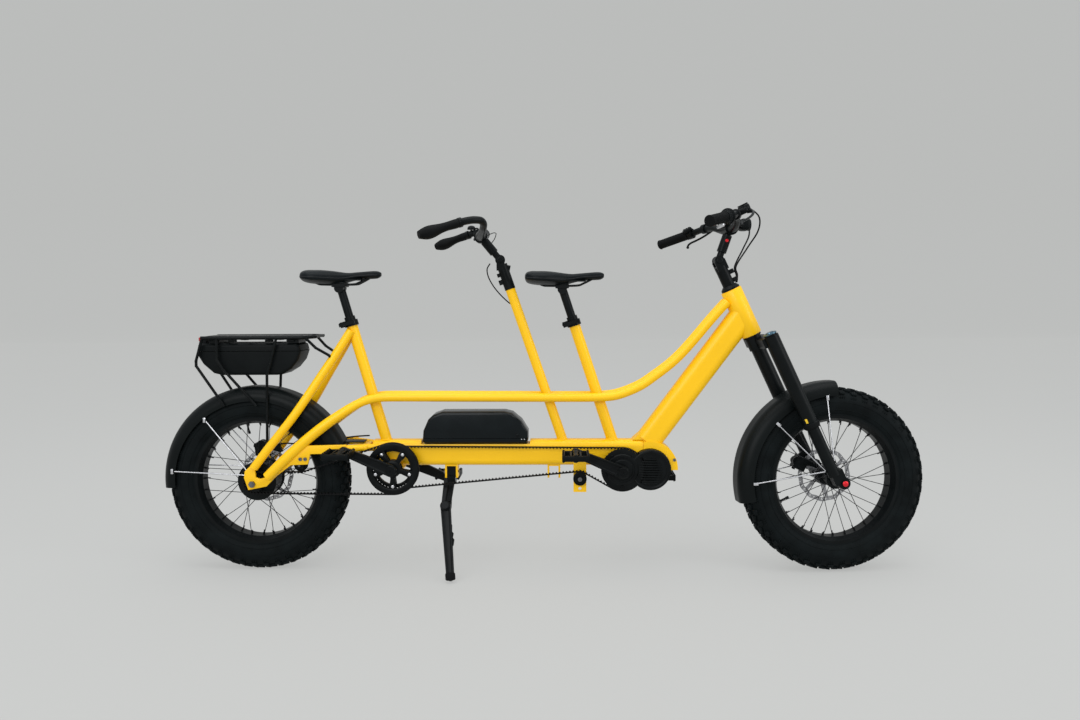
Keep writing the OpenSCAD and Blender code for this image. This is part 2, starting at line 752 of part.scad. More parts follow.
module frame_bolts() {
    bike() color(steel) {
        // rear axle with its end nuts
        cross(rear_axle, -dropout_y - 14, dropout_y + 14, 6);
        for (s = [-1, 1])
            translate([0, s * (dropout_y + dropout_t / 2 + 4), tyre_r])
                rotate([90, 0, 0]) cylinder(h = 7.8, r = 11, center = true, $fn = 6);
        // idler bolts
        side_bolt(front_idler_c, -timing_y - 9, -1, 4, 28);
        side_bolt(rear_idler_c, -drive_y + 9, 1, 4, 30);
        // bolts of the idler's dropout mount
        for (x = [160, 176])
            side_bolt([x, 0, tyre_r + 82], -dropout_y - dropout_t / 2, -1, 3.4, 6);
        // motor bolt through the cradle
        side_bolt([motor_c[0] + motor_r + 12, 0, motor_c[2] + 30], -34, -1, 2.9, 50);
        // kickstand bolt
        translate([stand_x - 12, 0, boom_low - 24]) rotate([0, 90, 0]) cylinder(h = 52, r = 3.9);
        translate([stand_x - 13, 0, boom_low - 24]) rotate([0, 90, 0]) cylinder(h = 5.8, r = 7.5, $fn = 6);
        // stand's pivot bolt
        rod(stand_pivot - 26 * stand_axis, stand_pivot + 19 * stand_axis, 5);
        rod(stand_pivot - 26 * stand_axis, stand_pivot - 20.4 * stand_axis, 8.5);
        rod(stand_pivot + 14 * stand_axis, stand_pivot + 19 * stand_axis, 8.5);
        // collar bolts
        for (q = [rear_seat, front_seat])
            translate(seat_mouth(q) - 3 * lean_up(q[1]) + collar_lug - [3, 0, 0])
                rotate([90, 0, 0]) cylinder(h = 36, r = 2.5, center = true);
    }
}

// Hose to the rear caliper and the lead from the stoker's stem
rear_hose_points = [[360, 24, 440], [310, 56, 432], [262, 68, 424], [200, 62, 412], [130, 58, 404], [70, 58, 408], [20, 60, 402]];
stem_lead_points = [[774, 3, 1008], [764, 4, 990], [768, 4, 965], [782, 3, 938], [802, 2, 912], [826, 1, 888], [846, 0, 872]];

module frame_cables() {
    bike() color(black) {
        sweep(smooth(rear_hose_points, 3), 2.5, 8);
        sweep(smooth(stem_lead_points, 3), 2, 8);
    }
}

// Rod bent at each point, round at its bends
module bent_rod(p, r) {
    for (i = [0 : len(p) - 2]) rod(p[i], p[i + 1], r);
    if (len(p) > 2)
        for (i = [1 : len(p) - 2]) translate(p[i]) sphere(r = r + 0.35, $fn = 24);
}

module rack() {
    z = rack_z - rack_tube_r;
    bike() color(black) {
        difference() {
            union() {
                // deck rails, cross tubes and plate
                for (q = [-1, 1]) bent_rod([[rack_x0, q * rack_half, z], [rack_x1, q * rack_half, z], [rack_x1 + 38, q * 40, z + 2]], rack_tube_r);
                for (x = [rack_x0 + 5, rack_x0 + 75, rack_x0 + 150, rack_x0 + 225, rack_x1 - 6])
                    rod([x, -rack_half - 4, z], [x, rack_half + 4, z], rack_tube_r - 1);
                rod([rack_x1 + 36, -44, z + 2], [rack_x1 + 36, 44, z + 2], rack_tube_r - 0.8);
                translate([rack_x0 + 20, -24, rack_z - 5]) cube([rack_x1 - rack_x0 - 40, 48, 4.4]);
                // hangers that carry the case
                for (x = [rack_x0 + 20, rack_x1 - 50])
                    translate([x, -52, rack_box_top]) cube([34, 104, z - rack_box_top + 3]);
                // tail lamp bracket and lamp
                translate([rack_x0 - 18, -30, rack_z - 28]) cube([20, 60, 22]);
            }
            translate([rack_x0 - 30, -90, rack_z]) cube([420, 180, 10]);
        }
        for (s = [-1, 1]) {
            y = s * (rack_half + 1);
            g = s * (guard_w / 2 + rack_leg_r + 0.6);
            bent_rod([[-106, y, z], [-107, y, 703], [-88, y, 672], [14, g, 553]], rack_leg_r);
            bent_rod([[88, y, z], [66, y, 690], [54, y, 655], [50, g, 572], [46, s * (dropout_y - 17), 425]], rack_leg_r);
            bent_rod([[-154, y, z], [-176, y, 700], [-176, y, 684], [-91, g, 552]], rack_leg_r);
            bent_rod([[rack_x1 + 8, s * 62, z], [212, s * 56, 740], [250, s * 46, 716], [258, s * 35, 702]], rack_leg_r);
        }
    }
}

rack_box_top = rack_z - 24;
rack_box_low = rack_z - 128;
module rack_box() {
    bike() color(black)
        difference() {
            translate([0, 55, 0])
                rotate([90, 0, 0])
                    linear_extrude(height = 110)
                        polygon([
                            [-176, rack_box_top - 6], [-172, rack_box_top], [144, rack_box_top], [158, rack_box_top - 8],
                            [160, rack_box_top - 30], [148, rack_box_top - 62], [128, rack_box_top - 86], [94, rack_box_low],
                            [-108, rack_box_low], [-132, rack_box_low + 8], [-166, rack_box_low + 42], [-180, rack_box_low + 70]
                        ]);
            for (s = [-1, 1])
                for (q = [[-1, rack_box_low], [1, rack_box_top]])
                    translate([-200, s * 55, q[1]]) rotate([45, 0, 0]) translate([0, -9, -9]) cube([400, 18, 18]);
        }
}

// Skin of a mudguard round the axle at c, between two angles
module guard_skin(c, r, w, a0, a1, depth) {
    translate(c)
        rotate([90, 0, 0])
            rotate([0, 0, a0])
                rotate_extrude(angle = a1 - a0, $fn = 96)
                    difference() {
                        translate([r - 60, 0]) round_rect(120, w, 38);
                        translate([r - 60 - guard_t, 0]) round_rect(120, w - 2 * guard_t, 38 - guard_t);
                        translate([r - 200, -w]) square([200 - depth, 2 * w]);
                    }
}

module rear_mudguard() {
    bike() color(black) {
        guard_skin(rear_axle, rear_guard_r, guard_w, 21, 184, 46);
        for (s = [-1, 1])
            for (q = [[-160, 506], [-274, 336]]) {
                rod([q[0], s * (guard_w / 2 - 1), q[1]], [-8, s * (dropout_y - dropout_t / 2 - 3), tyre_r + 26], 1.6);
                translate([q[0], s * (guard_w / 2 + 1.4), q[1]]) rotate([90, 0, 0]) cylinder(h = 6, r = 6, center = true);
            }
        for (s = [-1, 1]) cross([-8, 0, tyre_r + 26], s * (dropout_y - dropout_t / 2 - 3) - 4, s * (dropout_y - dropout_t / 2 - 3) + 4, 4);
        // tab that holds it to the stays' bridge
        translate([287, -20, 424]) cube([66, 40, 4]);
    }
}

module caliper_shape(l, h, w) {
    difference() {
        union() {
            cube([l, w, h], center = true);
            for (s = [-1, 1]) translate([0, s * w / 4, h / 3]) rotate([90, 0, 0]) cylinder(h = w / 3, r = l * 0.32, center = true);
            translate([-l / 2 - 6, 0, h / 4]) rotate([0, 90, 0]) cylinder(h = 14, r = 6);
        }
        translate([0, -2.7, -h / 2 + 10]) cube([l + 30, 5, h], center = true);
    }
}

module rear_caliper() {
    bike() color(black) {
        translate(rear_axle + 93 * lean_up(8) + [0, rear_rotor_y + 2.7, 0]) rotate([0, -8, 0]) caliper_shape(46, 42, 30);
        translate([24, 70, tyre_r + 84]) rotate([0, -20, 0]) cube([46, 9, 30], center = true);
    }
}

// ---------- stoker's stem and bar ----------

stoker_low = [post_x, 0, boom_top] + post_l * post_up;
// Frame of the stem in its post
module at_stoker() {
    translate(stoker_low) rotate([0, -post_lean, 0]) rotate([0, 0, stoker_turn]) children();
}
// Frame of the arm and bar: upright, at the arm's pivot
stoker_pivot_l = 100;
module at_arm() {
    translate(stoker_low + stoker_pivot_l * post_up) rotate([0, 0, stoker_turn]) children();
}
stoker_clamp = [-62, 0, 75];

module stoker_stem_base() {
    bike() color(black) {
        difference() {
            union() {
                at_stoker() {
                    translate([0, 0, -70]) cylinder(h = 71, r = stem_quill_r);
                    translate([0, 0, 0.01]) cylinder(h = 84, r = bar_post_r + 1.5);
                    translate([-28, -7, 22]) cube([14, 14, 16]);
                    translate([-26, -7, 48]) cube([14, 14, 12]);
                }
                at_arm() {
                    rotate([90, 0, 0]) cylinder(h = 36, r = 16, center = true);
                    translate([-12, -18, -34]) cube([26, 36, 34]);
                    // tightening lever in front of the pivot
                    translate([10, -6, -36]) rotate([0, 12, 0]) cube([20, 12, 22]);
                }
            }
            at_arm() {
                rotate([90, 0, 0]) cylinder(h = 22 + 2 * gap, r = 19, center = true);
                rotate([90, 0, 0]) cylinder(h = 60, r = stem_pin_r + run, center = true);
                translate([-30, -11 - gap, -8]) cube([60, 22 + 2 * gap, 60]);
            }
            at_stoker() translate([0, 0, -80]) cylinder(h = 130, r = stem_quill_r - 3);
        }
    }
}

// Pin on which a stem's arm tilts
stem_pin_r = 5;

// Arm from a pivot lug to a bar clamp
module stem_arm_solid(pivot, clamp, half, neck_r) {
    v = clamp - pivot;
    difference() {
        union() {
            translate(pivot) rotate([90, 0, 0]) cylinder(h = 22, r = 15.2, center = true);
            rod(pivot + v * 0.12, clamp - v * 0.14, 10.6);
            rod(pivot + v * 0.3, clamp - v * 0.2, neck_r);
            translate(clamp) rotate([90, 0, 0]) cylinder(h = 2 * half, r = bar_clamp_r + 5.5, center = true);
            translate(pivot) rotate([90, 0, 0]) cylinder(h = 40, r = stem_pin_r, center = true);
        }
        translate(clamp) rotate([90, 0, 0]) cylinder(h = 100, r = bar_clamp_r + 0.01, center = true);
    }
}

module stoker_stem_arm() {
    bike() color(black)
        at_arm() {
            stem_arm_solid([0, 0, 0], stoker_clamp, 22, 14.5);
            // wire hook above the arm
            sweep(smooth([
                stoker_clamp + [22, -4, 4], stoker_clamp + [40, -3, 12], stoker_clamp + [50, 0, 10],
                stoker_clamp + [44, 3, -8], stoker_clamp + [33, 4, -22]
            ], 2), 1.3, 8);
        }
}

// Centre line of the stoker's bar, one side
stoker_side = [
    stoker_clamp,
    stoker_clamp + [0, 40, 0],
    stoker_clamp + [6, 110, 4],
    stoker_clamp + [13, 180, 14],
    stoker_clamp + [14, 216, 26],
    stoker_clamp + [0, 238, 33],
    stoker_clamp + [-46, 262, 26],
    stoker_clamp + [-162, stoker_half - 8, -12]
];

module stoker_bar() {
    bike() color(black)
        at_arm() {
            translate(stoker_clamp) rotate([90, 0, 0]) cylinder(h = 84, r = bar_clamp_r, center = true);
            for (s = [-1, 1])
                sweep(smooth(flip([for (i = [1 : 7]) stoker_side[i]], s), 3), bar_r, 14, 0, [1, 0, 0.4]);
        }
}

module stoker_grips() {
    bike() color(dark)
        at_arm()
            for (s = [-1, 1]) {
                a = flip([stoker_side[6] + [-8, 3, -2.6]], s)[0];
                b = flip([stoker_side[7]], s)[0];
                u = unit(b - a);
                difference() {
                    union() {
                        rod(a, b + 8 * u, 16);
                        rod(b - 50 * u + [0, s * 3, -6], b + 4 * u + [0, s * 6, -9], 14.5);
                    }
                    rod(a - 5 * u, b, bar_r + 0.3);
                }
            }
}

// ---------- battery, stand, seats ----------

module battery() {
    l = battery_l;
    h = battery_h;
    bike() color(black)
        translate([pocket_x + 6, 0, battery_z])
            difference() {
                rotate([90, 0, 0])
                    linear_extrude(height = battery_w, center = true)
                        polygon([
                            [4, 0], [0, 6], [2, h * 0.4], [18, h * 0.78], [34, h * 0.9], [66, h], [l - 74, h],
                            [l - 50, h * 0.96], [l - 24, h * 0.72], [l, h * 0.36], [l, h * 0.1], [l - 6, 0]
                        ]);
                for (s = [-1, 1])
                    translate([-20, s * battery_w / 2, h]) rotate([45, 0, 0]) translate([0, -15, -15]) cube([l + 40, 30, 30]);
                translate([l - 34, -battery_w / 2 - 1, h * 0.24]) rotate([-90, 0, 0]) cylinder(h = 4, r = 6);
            }
}

module kickstand_leg() {
    u = unit(stand_foot + [0, 0, 6] - stand_pivot);
    p = stand_pivot - 10 * stand_axis;
    bike() color(black)
        difference() {
            union() {
                rod(stand_pivot - 0.4 * stand_axis, stand_pivot - 20 * stand_axis, 15);
                rod(p, stand_foot + [0, 0, 12], 8.5);
                rod(p + 60 * u + [8, 0, 0], p + 88 * u + [14, 0, 0], 5);
                translate([stand_foot[0] - 14, stand_foot[1] - 12, 0]) cube([28, 24, 9]);
                translate(stand_foot + [0, 0, 12]) sphere(r = 9);
            }
            stand_bore();
        }
}

// Where the post's head sits below a saddle's top
saddle_drop = 62;
function post_head(q, top_z) =
    let (m = seat_mouth(q)) m + (top_z - saddle_drop - m[2]) / cos(q[1]) * lean_up(q[1]);

// Post that slides in the seat tube, and its clamp under the saddle
module seatpost(q, top_z) {
    up = lean_up(q[1]);
    m = seat_mouth(q);
    head = post_head(q, top_z);
    bike() color(black)
        difference() {
            union() {
                rod(m - 170 * up, head, seatpost_r);
                translate(head + [-2, 0, 2]) rotate([90, 0, 0]) cylinder(h = 44, r = 15, center = true);
                translate(head + [-2, 0, 12]) cube([44, 52, 12], center = true);
            }
            rod(m - 180 * up, head - 30 * up, seatpost_r - 2.2);
            for (s = [-1, 1]) translate(head + [-2, s * 21.5, 14.6]) rotate([0, 90, 0]) cylinder(h = 60, r = 3.6, center = true);
        }
}

// Saddle with two rails, nose ahead
saddle_half = [[-124, 24], [-122, 58], [-108, 76], [-84, 84], [-52, 76], [-20, 52], [20, 31], [70, 23], [110, 20], [127, 10]];
function rev(v) = [for (i = [len(v) - 1 : -1 : 0]) v[i]];
module saddle_outline() {
    polygon(concat(saddle_half, rev(flip_flat(saddle_half))));
}
function flip_flat(p) = [for (q = p) [q[0], -q[1]]];

module saddle(q, top_z) {
    head = post_head(q, top_z);
    c = [head[0] + 6, 0, top_z];
    bike() color(black) {
        translate(c)
            difference() {
                union() {
                    translate([0, 0, -34]) linear_extrude(height = 12) scale([0.97, 0.84]) saddle_outline();
                    translate([0, 0, -24]) linear_extrude(height = 19) saddle_outline();
                    translate([0, 0, -6]) linear_extrude(height = 6) scale([0.96, 0.86]) saddle_outline();
                }
                // rising underside of the nose
                translate([10, -100, -30]) rotate([0, -6, 0]) translate([0, 0, -30]) cube([150, 200, 30]);
            }
        for (s = [-1, 1])
            bent_rod([
                c + [-92, s * 27, -30], c + [-58, s * 24, 14.6 - saddle_drop], c + [34, s * 21.5, 14.6 - saddle_drop], c + [92, s * 9, -18]
            ], 3.5);
    }
}

module rear_seatpost() seatpost(rear_seat, rear_saddle_z);

module rear_saddle() saddle(rear_seat, rear_saddle_z);

module front_seatpost() seatpost(front_seat, front_saddle_z);

module front_saddle() saddle(front_seat, front_saddle_z);

// Lever of a seat collar, swinging about its bolt
module collar_lever(q) {
    bike() color(dark)
        translate(seat_mouth(q) - 3 * lean_up(q[1]) + collar_lug - [3, 0, 0]) {
            difference() {
                translate([0, -8.4, 0]) rotate([90, 0, 0]) cylinder(h = 8, r = 8);
                rotate([90, 0, 0]) cylinder(h = 60, r = 2.5 + run, center = true);
            }
            rotate([0, -q[1], 0]) {
                translate([-4, -32.4, -7]) cube([52, 5, 11]);
                difference() {
                    translate([-4, -30, -6]) cube([8, 16, 9]);
                    rotate([90, 0, 0]) cylinder(h = 60, r = 3.2, center = true);
                }
            }
        }
}

module rear_collar_lever() collar_lever(rear_seat);

module front_collar_lever() collar_lever(front_seat);

// ---------- fork and front controls ----------

module fork_upper() {
    bike() color(black)
        steered()
            difference() {
                union() {
                    translate([0, 0, crown_low + 4]) cylinder(h = head_length + 74 - crown_low, r = steerer_r);
                    translate([0, 0, crown_low + 4]) cylinder(h = crown_high - crown_low, r = head_r - 4);
                    // crown bridge
                    translate([leg_ahead / 2 + 3, 0, (crown_low + crown_high) / 2])
                        cube([44, 2 * leg_y + 8, crown_high - crown_low - 12], center = true);
                    for (s = [-1, 1]) translate([leg_ahead, s * leg_y, upper_leg_low]) {
                        cylinder(h = crown_high - 6 - upper_leg_low, r = upper_leg_r);
                        cylinder(h = 14, r = upper_leg_r + 2);
                        translate([0, 0, crown_high - 6 - upper_leg_low]) cylinder(h = 6, r = upper_leg_r - 4);
                    }
                }
                for (s = [-1, 1]) translate([leg_ahead, s * leg_y, upper_leg_low - 1]) {
                    cylinder(h = 240, r = lower_leg_r + run);
                }
                translate([0, 0, -20]) cylinder(h = head_length + 200, r = steerer_r - 2.4);
                translate([-60, -60, crown_high - 2]) difference() {
                    cube([120, 120, 12 - crown_high + 2 - 6 - 4.4]);
                    translate([60, 60, -1]) cylinder(h = 60, r = head_r - 4);
                }
            }
}

module fork_lower() {
    bike() color(black)
        steered() {
            difference() {
                union() {
                    for (s = [-1, 1]) {
                        translate([leg_ahead, s * leg_y, axle_down + 34]) cylinder(h = -axle_down - 34 - 190, r = lower_leg_r);
                        // dropout lug, offset ahead of the leg
                        translate([fork_rake, s * leg_y, axle_down]) rotate([90, 0, 0]) cylinder(h = 30, r = 19, center = true);
                        translate([(leg_ahead + fork_rake) / 2, s * leg_y, axle_down + 24]) cube([40, 30, 44], center = true);
                    }
                }
                for (s = [-1, 1]) translate([leg_ahead, s * leg_y, axle_down + 60]) cylinder(h = 400, r = lower_leg_r - 3);
            }
            // axle, its nuts and the near end's knob
            translate([fork_rake, 0, axle_down]) rotate([90, 0, 0]) cylinder(h = 2 * leg_y + 44, r = 6, center = true);
            for (s = [-1, 1])
                translate([fork_rake, s * (leg_y + 18), axle_down]) rotate([90, 0, 0]) cylinder(h = 6.4, r = 10, center = true);
        }
}

module front_mudguard() {
    c = [fork_rake, 0, axle_down];
    bike() color(black)
        steered() {
            guard_skin(c, front_guard_r, guard_w, 90 - head_angle, 193 - head_angle, 46);
            // stays of wire from the skirt's clips to the dropouts
            for (s = [-1, 1])
                for (a = [98, 137, 181]) {
                    t = a - head_angle;
                    q = c + [(front_guard_r - 50) * cos(t), s * (guard_w / 2 - 1), (front_guard_r - 50) * sin(t)];
                    e = c + [leg_ahead - fork_rake + (t < 90 ? 18 : -18), s * leg_y, t < 90 ? 72 : 56];
                    rod(q, e, 1.6);
                    translate(e) rotate([90, 0, 0]) cylinder(h = 8, r = 4, center = true);
                    translate(q + [0, s * 2, 0]) rotate([90, 0, 0]) cylinder(h = 6, r = 6, center = true);
                }
        }
}

module front_caliper() {
    bike() color(black)
        steered() {
            translate([fork_rake, front_rotor_y + 2.7, axle_down] + 93 * lean_up(38)) rotate([0, -38, 0]) caliper_shape(46, 42, 30);
            translate([leg_ahead - 22, 73, axle_down + 78]) rotate([0, -24, 0]) cube([36, 9, 40], center = true);
        }
}

module stem_base() {
    bike() color(black)
        steered()
            difference() {
                union() {
                    translate([0, 0, head_length + 5 + gap]) cylinder(h = cover_t, r1 = head_r, r2 = 22);
                    translate([0, 0, head_length + 5 + gap]) cylinder(h = 76, r = 19.5);
                    translate([stem_pivot[0] - 18, -17, stem_pivot[2] - 34]) cube([36, 34, 34]);
                    translate(stem_pivot) rotate([90, 0, 0]) cylinder(h = 34, r = 16, center = true);
                    // spur behind the pivot
                    translate(stem_pivot + [-4, 0, 4]) rotate([90, 0, 0])
                        linear_extrude(height = 16, center = true)
                            polygon([[-6, -20], [-24, 2], [-22, 8], [-4, 16]]);
                    // clamp ears and guide of the hoses
                    translate([19, -7, head_length + 18]) cube([14, 14, 14]);
                    translate([19, -7, head_length + 46]) cube([14, 14, 14]);
                }
                translate([0, 0, head_length - 10]) cylinder(h = 90, r = steerer_r + 0.01);
                translate(stem_pivot + [0, 0, 10]) cube([70, 22 + 2 * gap, 50], center = true);
                translate(stem_pivot) rotate([90, 0, 0]) cylinder(h = 22 + 2 * gap, r = 19, center = true);
                translate(stem_pivot) rotate([90, 0, 0]) cylinder(h = 60, r = stem_pin_r + run, center = true);
            }
}

module stem_arm() {
    v = bar_clamp - stem_pivot;
    bike() color(black)
        steered() {
            stem_arm_solid(stem_pivot, bar_clamp, 24, 10.9);
            rod(stem_pivot + v * 0.27, bar_clamp - v * 0.2, 15.5);
        }
}

// Centre line of the front bar, one side, in the steering frame
bar_side = [
    bar_clamp,
    bar_clamp + [0, 40, 0],
    bar_clamp + [-2, 90, 9],
    bar_clamp + [-8, 130, 24],
    bar_clamp + [-22, 178, 34],
    bar_clamp + [-52, 224, 38],
    bar_clamp + [-146, bar_half, 50]
];

module handlebar() {
    bike() color(black)
        steered() {
            translate(bar_clamp) rotate([90, 0, 0]) cylinder(h = 84, r = bar_clamp_r, center = true);
            for (s = [-1, 1])
                sweep(smooth(flip([for (i = [1 : 6]) bar_side[i]], s), 3), bar_r, 14, 0, [1, 0, 0.4]);
        }
}

// Straight outer stretch of the bar: a point at a share of its length
function on_grip(s, t) = flip([bar_side[5] + t * (bar_side[6] - bar_side[5])], s)[0];

module grips() {
    bike() color(dark)
        steered()
            for (s = [-1, 1]) {
                t0 = s < 0 ? 0.34 : 0.14;
                difference() {
                    union() {
                        rod(on_grip(s, t0), on_grip(s, 1.03), 15.5);
                        rod(on_grip(s, 0.99), on_grip(s, 1.04), 17);
                        rod(on_grip(s, t0), on_grip(s, t0 + 0.05), 17);
                    }
                    rod(on_grip(s, t0 - 0.1), on_grip(s, 1.001), bar_r + 0.3);
                }
            }
}

module twist_shifter() {
    bike() color(black)
        steered()
            difference() {
                union() {
                    rod(on_grip(-1, 0.08), on_grip(-1, 0.32), 20);
                    rod(on_grip(-1, 0.05), on_grip(-1, 0.13), 24);
                }
                rod(on_grip(-1, -0.2), on_grip(-1, 0.5), bar_r + 0.8);
            }
}

module display() {
    bike() color(steel)
        steered()
            translate(bar_clamp + [-6, 0, 30])
                rotate([0, -32, 0]) {
                    cube([46, 74, 10], center = true);
                    translate([6, 0, -9]) cube([16, 30, 10], center = true);
                }
}

module headlight() {
    bike() color(black)
        steered()
            translate(bar_clamp + [48, 0, -8])
                rotate([0, head_angle, 0]) {
                    difference() {
                        cube([36, 48, 38], center = true);
                        translate([18, 0, 0]) cube([4, 40, 30], center = true);
                    }
                    translate([-22, 0, 6]) cube([12, 16, 12], center = true);
                }
}

function on_bend(s) = flip([bar_side[4]], s)[0];

// Brake perches on both bends, with the thumb control beside the left grip
module bar_controls() {
    bike() color(black)
        steered() {
            for (s = [-1, 1]) {
                c = on_bend(s);
                u = unit(flip([bar_side[5] - bar_side[3]], s)[0]);
                difference() {
                    union() {
                        rod(c - 7 * u, c + 7 * u, 16);
                        translate(c + [22, 0, 0]) rotate([0, 0, s * 30]) cube([36, 22, 20], center = true);
                        translate(c + [34, s * -14, 6]) rotate([90, 0, 0]) cylinder(h = 40, r = 11, center = true);
                    }
                    rod(c - 40 * u, c + 40 * u, bar_r + 0.2);
                    translate(c + [44, s * 8, -8]) cube([26, 26, 9 + 2 * gap], center = true);
                    translate(c + [38, s * 6, 0]) cylinder(h = 60, r = 3 + run, center = true);
                }
            }
            difference() {
                union() {
                    rod(on_grip(1, 0.0), on_grip(1, 0.12), 18);
                    translate(on_grip(1, 0.06) + [-8, -4, 14]) cube([30, 28, 14], center = true);
                }
                rod(on_grip(1, -0.4), on_grip(1, 0.6), bar_r + 0.2);
            }
        }
}

// Brake lever blade on its upright pin
module brake_lever(s) {
    c = on_bend(s);
    bike() color(dark)
        steered() {
            translate(c + [38, s * 6, -13]) cylinder(h = 26, r = 3);
            translate(c + [38, s * 6, -8]) cylinder(h = 9, r = 6.5, center = true);
            translate(c + [40, s * 8, -12]) rotate([0, 0, s * 8]) cube([10, 8, 8], center = true);
            sweep(smooth(flip([
                bar_side[4] + [40, 6, -8], bar_side[4] + [40, 30, -10], bar_side[4] + [22, 66, -8],
                bar_side[4] + [-14, 104, -2], bar_side[4] + [-38, 124, 0], bar_side[4] + [-44, 140, 4]
            ], s), 3), 4, 12, 0, [0, 0, 1]);
        }
}

module left_brake_lever() brake_lever(1);

module right_brake_lever() brake_lever(-1);

// Hoses from the perches round the lamp and down to the head tube
bar_cable_side = [
    bar_side[4] + [46, -38, 6], bar_side[4] + [70, -62, -4], bar_clamp + [78, 66, -4], bar_clamp + [66, 40, -22],
    bar_clamp + [20, 14, -46], [46, 8, head_length + 62], [38, 6, head_length + 34], [27, 4, head_length + 13]
];

module bar_cables() {
    bike() color(black)
        steered()
            for (s = [-1, 1])
                sweep(smooth(flip(bar_cable_side, s), 3), 2.5, 8, 0, [0.3, 1, 0]);
}

// ---------- wheels ----------

// Wheel frames: the rear one stands straight, the front one turns with the fork
module rear_wheel() {
    bike() translate(rear_axle) children();
}
module front_wheel() {
    bike() steered() translate([fork_rake, 0, axle_down]) children();
}

// Tyre as a hollow casing with a flat tread
module tyre_solid() {
    color(black)
        rotate([90, 0, 0])
            rotate_extrude($fn = 120)
                difference() {
                    union() {
                        translate([tyre_r - tyre_w / 2, 0]) circle(r = tyre_w / 2);
                        translate([tyre_r - 30, 0]) round_rect(60, 54, 12);
                        translate([bead_r + 6, 0]) square([14, rim_w - 8], center = true);
                    }
                    translate([tyre_r - tyre_w / 2 - 2, 0]) circle(r = tyre_w / 2 - 7);
                    translate([bead_r + 10, 0]) square([40, rim_w - 20], center = true);
                    translate([bead_r - 60, -100]) square([60 + 0.3, 200]);
                }
}

module rim_solid() {
    color(black)
        rotate([90, 0, 0])
            rotate_extrude($fn = 120)
                polygon([
                    [bead_r, -rim_w / 2 + 3], [bead_r + 6.5, -rim_w / 2 + 3], [bead_r + 6.5, -rim_w / 2],
                    [bead_r - 3, -rim_w / 2], [bead_r - rim_h, -20], [bead_r - rim_h, 20], [bead_r - 3, rim_w / 2],
                    [bead_r + 6.5, rim_w / 2], [bead_r + 6.5, rim_w / 2 - 3], [bead_r, rim_w / 2 - 3],
                    [bead_r - rim_h + 3, 18], [bead_r - rim_h + 3, -18]
                ]);
}

// Crossed spokes between the flanges and the rim
module spoke_set(flange_r, flange_half) {
    n = spoke_count;
    color(steel)
        for (k = [0 : n - 1]) {
            side = k % 2 == 0 ? 1 : -1;
            lead = floor(k / 2) % 2 == 0 ? 1 : -1;
            a = k * 360 / n;
            b = a + lead * (flange_r > 40 ? 26 : 52);
            rod(
                [flange_r * cos(b), side * flange_half, flange_r * sin(b)],
                [(bead_r - rim_h + 1) * cos(a), side * 8, (bead_r - rim_h + 1) * sin(a)],
                spoke_r
            );
            rod(
                [(bead_r - rim_h - 13) * cos(a), side * 9, (bead_r - rim_h - 13) * sin(a)],
                [(bead_r - rim_h + 2) * cos(a), side * 8, (bead_r - rim_h + 2) * sin(a)],
                2
            );
        }
}

rear_flange_r = rear_hub_r + 4;
front_flange_r = front_hub_r + 9;

module hub_solid(shell_r, half, flange_r, flange_half, bore_r) {
    color(black)
        rotate([90, 0, 0])
            difference() {
                rotate_extrude()
                    polygon([
                        [0, -half], [18, -half], [18, -half + 6], [shell_r, -flange_half], [flange_r, -flange_half + 1],
                        [flange_r, -flange_half + 5], [shell_r, -flange_half + 6], [shell_r, flange_half - 6],
                        [flange_r, flange_half - 5], [flange_r, flange_half - 1], [shell_r, flange_half], [18, half - 6],
                        [18, half], [0, half]
                    ]);
                cylinder(h = 300, r = bore_r, center = true);
            }
}

module rotor_solid(y) {
    color(steel)
        translate([0, y, 0])
            rotate([90, 0, 0])
                difference() {
                    cylinder(h = 1.8, r = rotor_r, center = true);
                    difference() {
                        cylinder(h = 4, r = rotor_r - 16, center = true);
                        cylinder(h = 6, r = 30, center = true);
                        for (k = [0 : 5])
                            rotate([0, 0, k * 60]) translate([28, -4, -3]) rotate([0, 0, 18]) cube([60, 8, 6]);
                    }
                    cylinder(h = 6, r = 17, center = true);
                    for (k = [0 : 23])
                        rotate([0, 0, k * 15]) translate([rotor_r - 6 - 4 * (k % 2), 0, 0]) cylinder(h = 6, r = 2.4, center = true);
                }
}

rear_rotor_y = 54.3;
front_rotor_y = 57.3;

module front_tyre() front_wheel() tyre_solid();

module front_rim() front_wheel() rim_solid();

module front_spokes() front_wheel() spoke_set(front_flange_r - 3, 36);

module front_hub() front_wheel() hub_solid(front_hub_r, 72, front_flange_r, 38, 6 + run);

module front_rotor() front_wheel() rotor_solid(front_rotor_y);

module rear_tyre() rear_wheel() tyre_solid();

module rear_rim() rear_wheel() rim_solid();

module rear_spokes() rear_wheel() spoke_set(rear_flange_r - 2, 40);

module rear_hub() rear_wheel() hub_solid(rear_hub_r, 52, rear_flange_r, 43, 6 + run);

module rear_rotor() rear_wheel() rotor_solid(rear_rotor_y);

module rear_cog() {
    bike() color(black)
        difference() {
            union() {
                cross(rear_axle, -drive_y - belt_w / 2, -drive_y + belt_w / 2, cog_pr - tip_in);
                cross(rear_axle, -drive_y - belt_w / 2, -52.6, 18);
            }
            cross(rear_axle, -100, 0, 6 + run);
        }
}

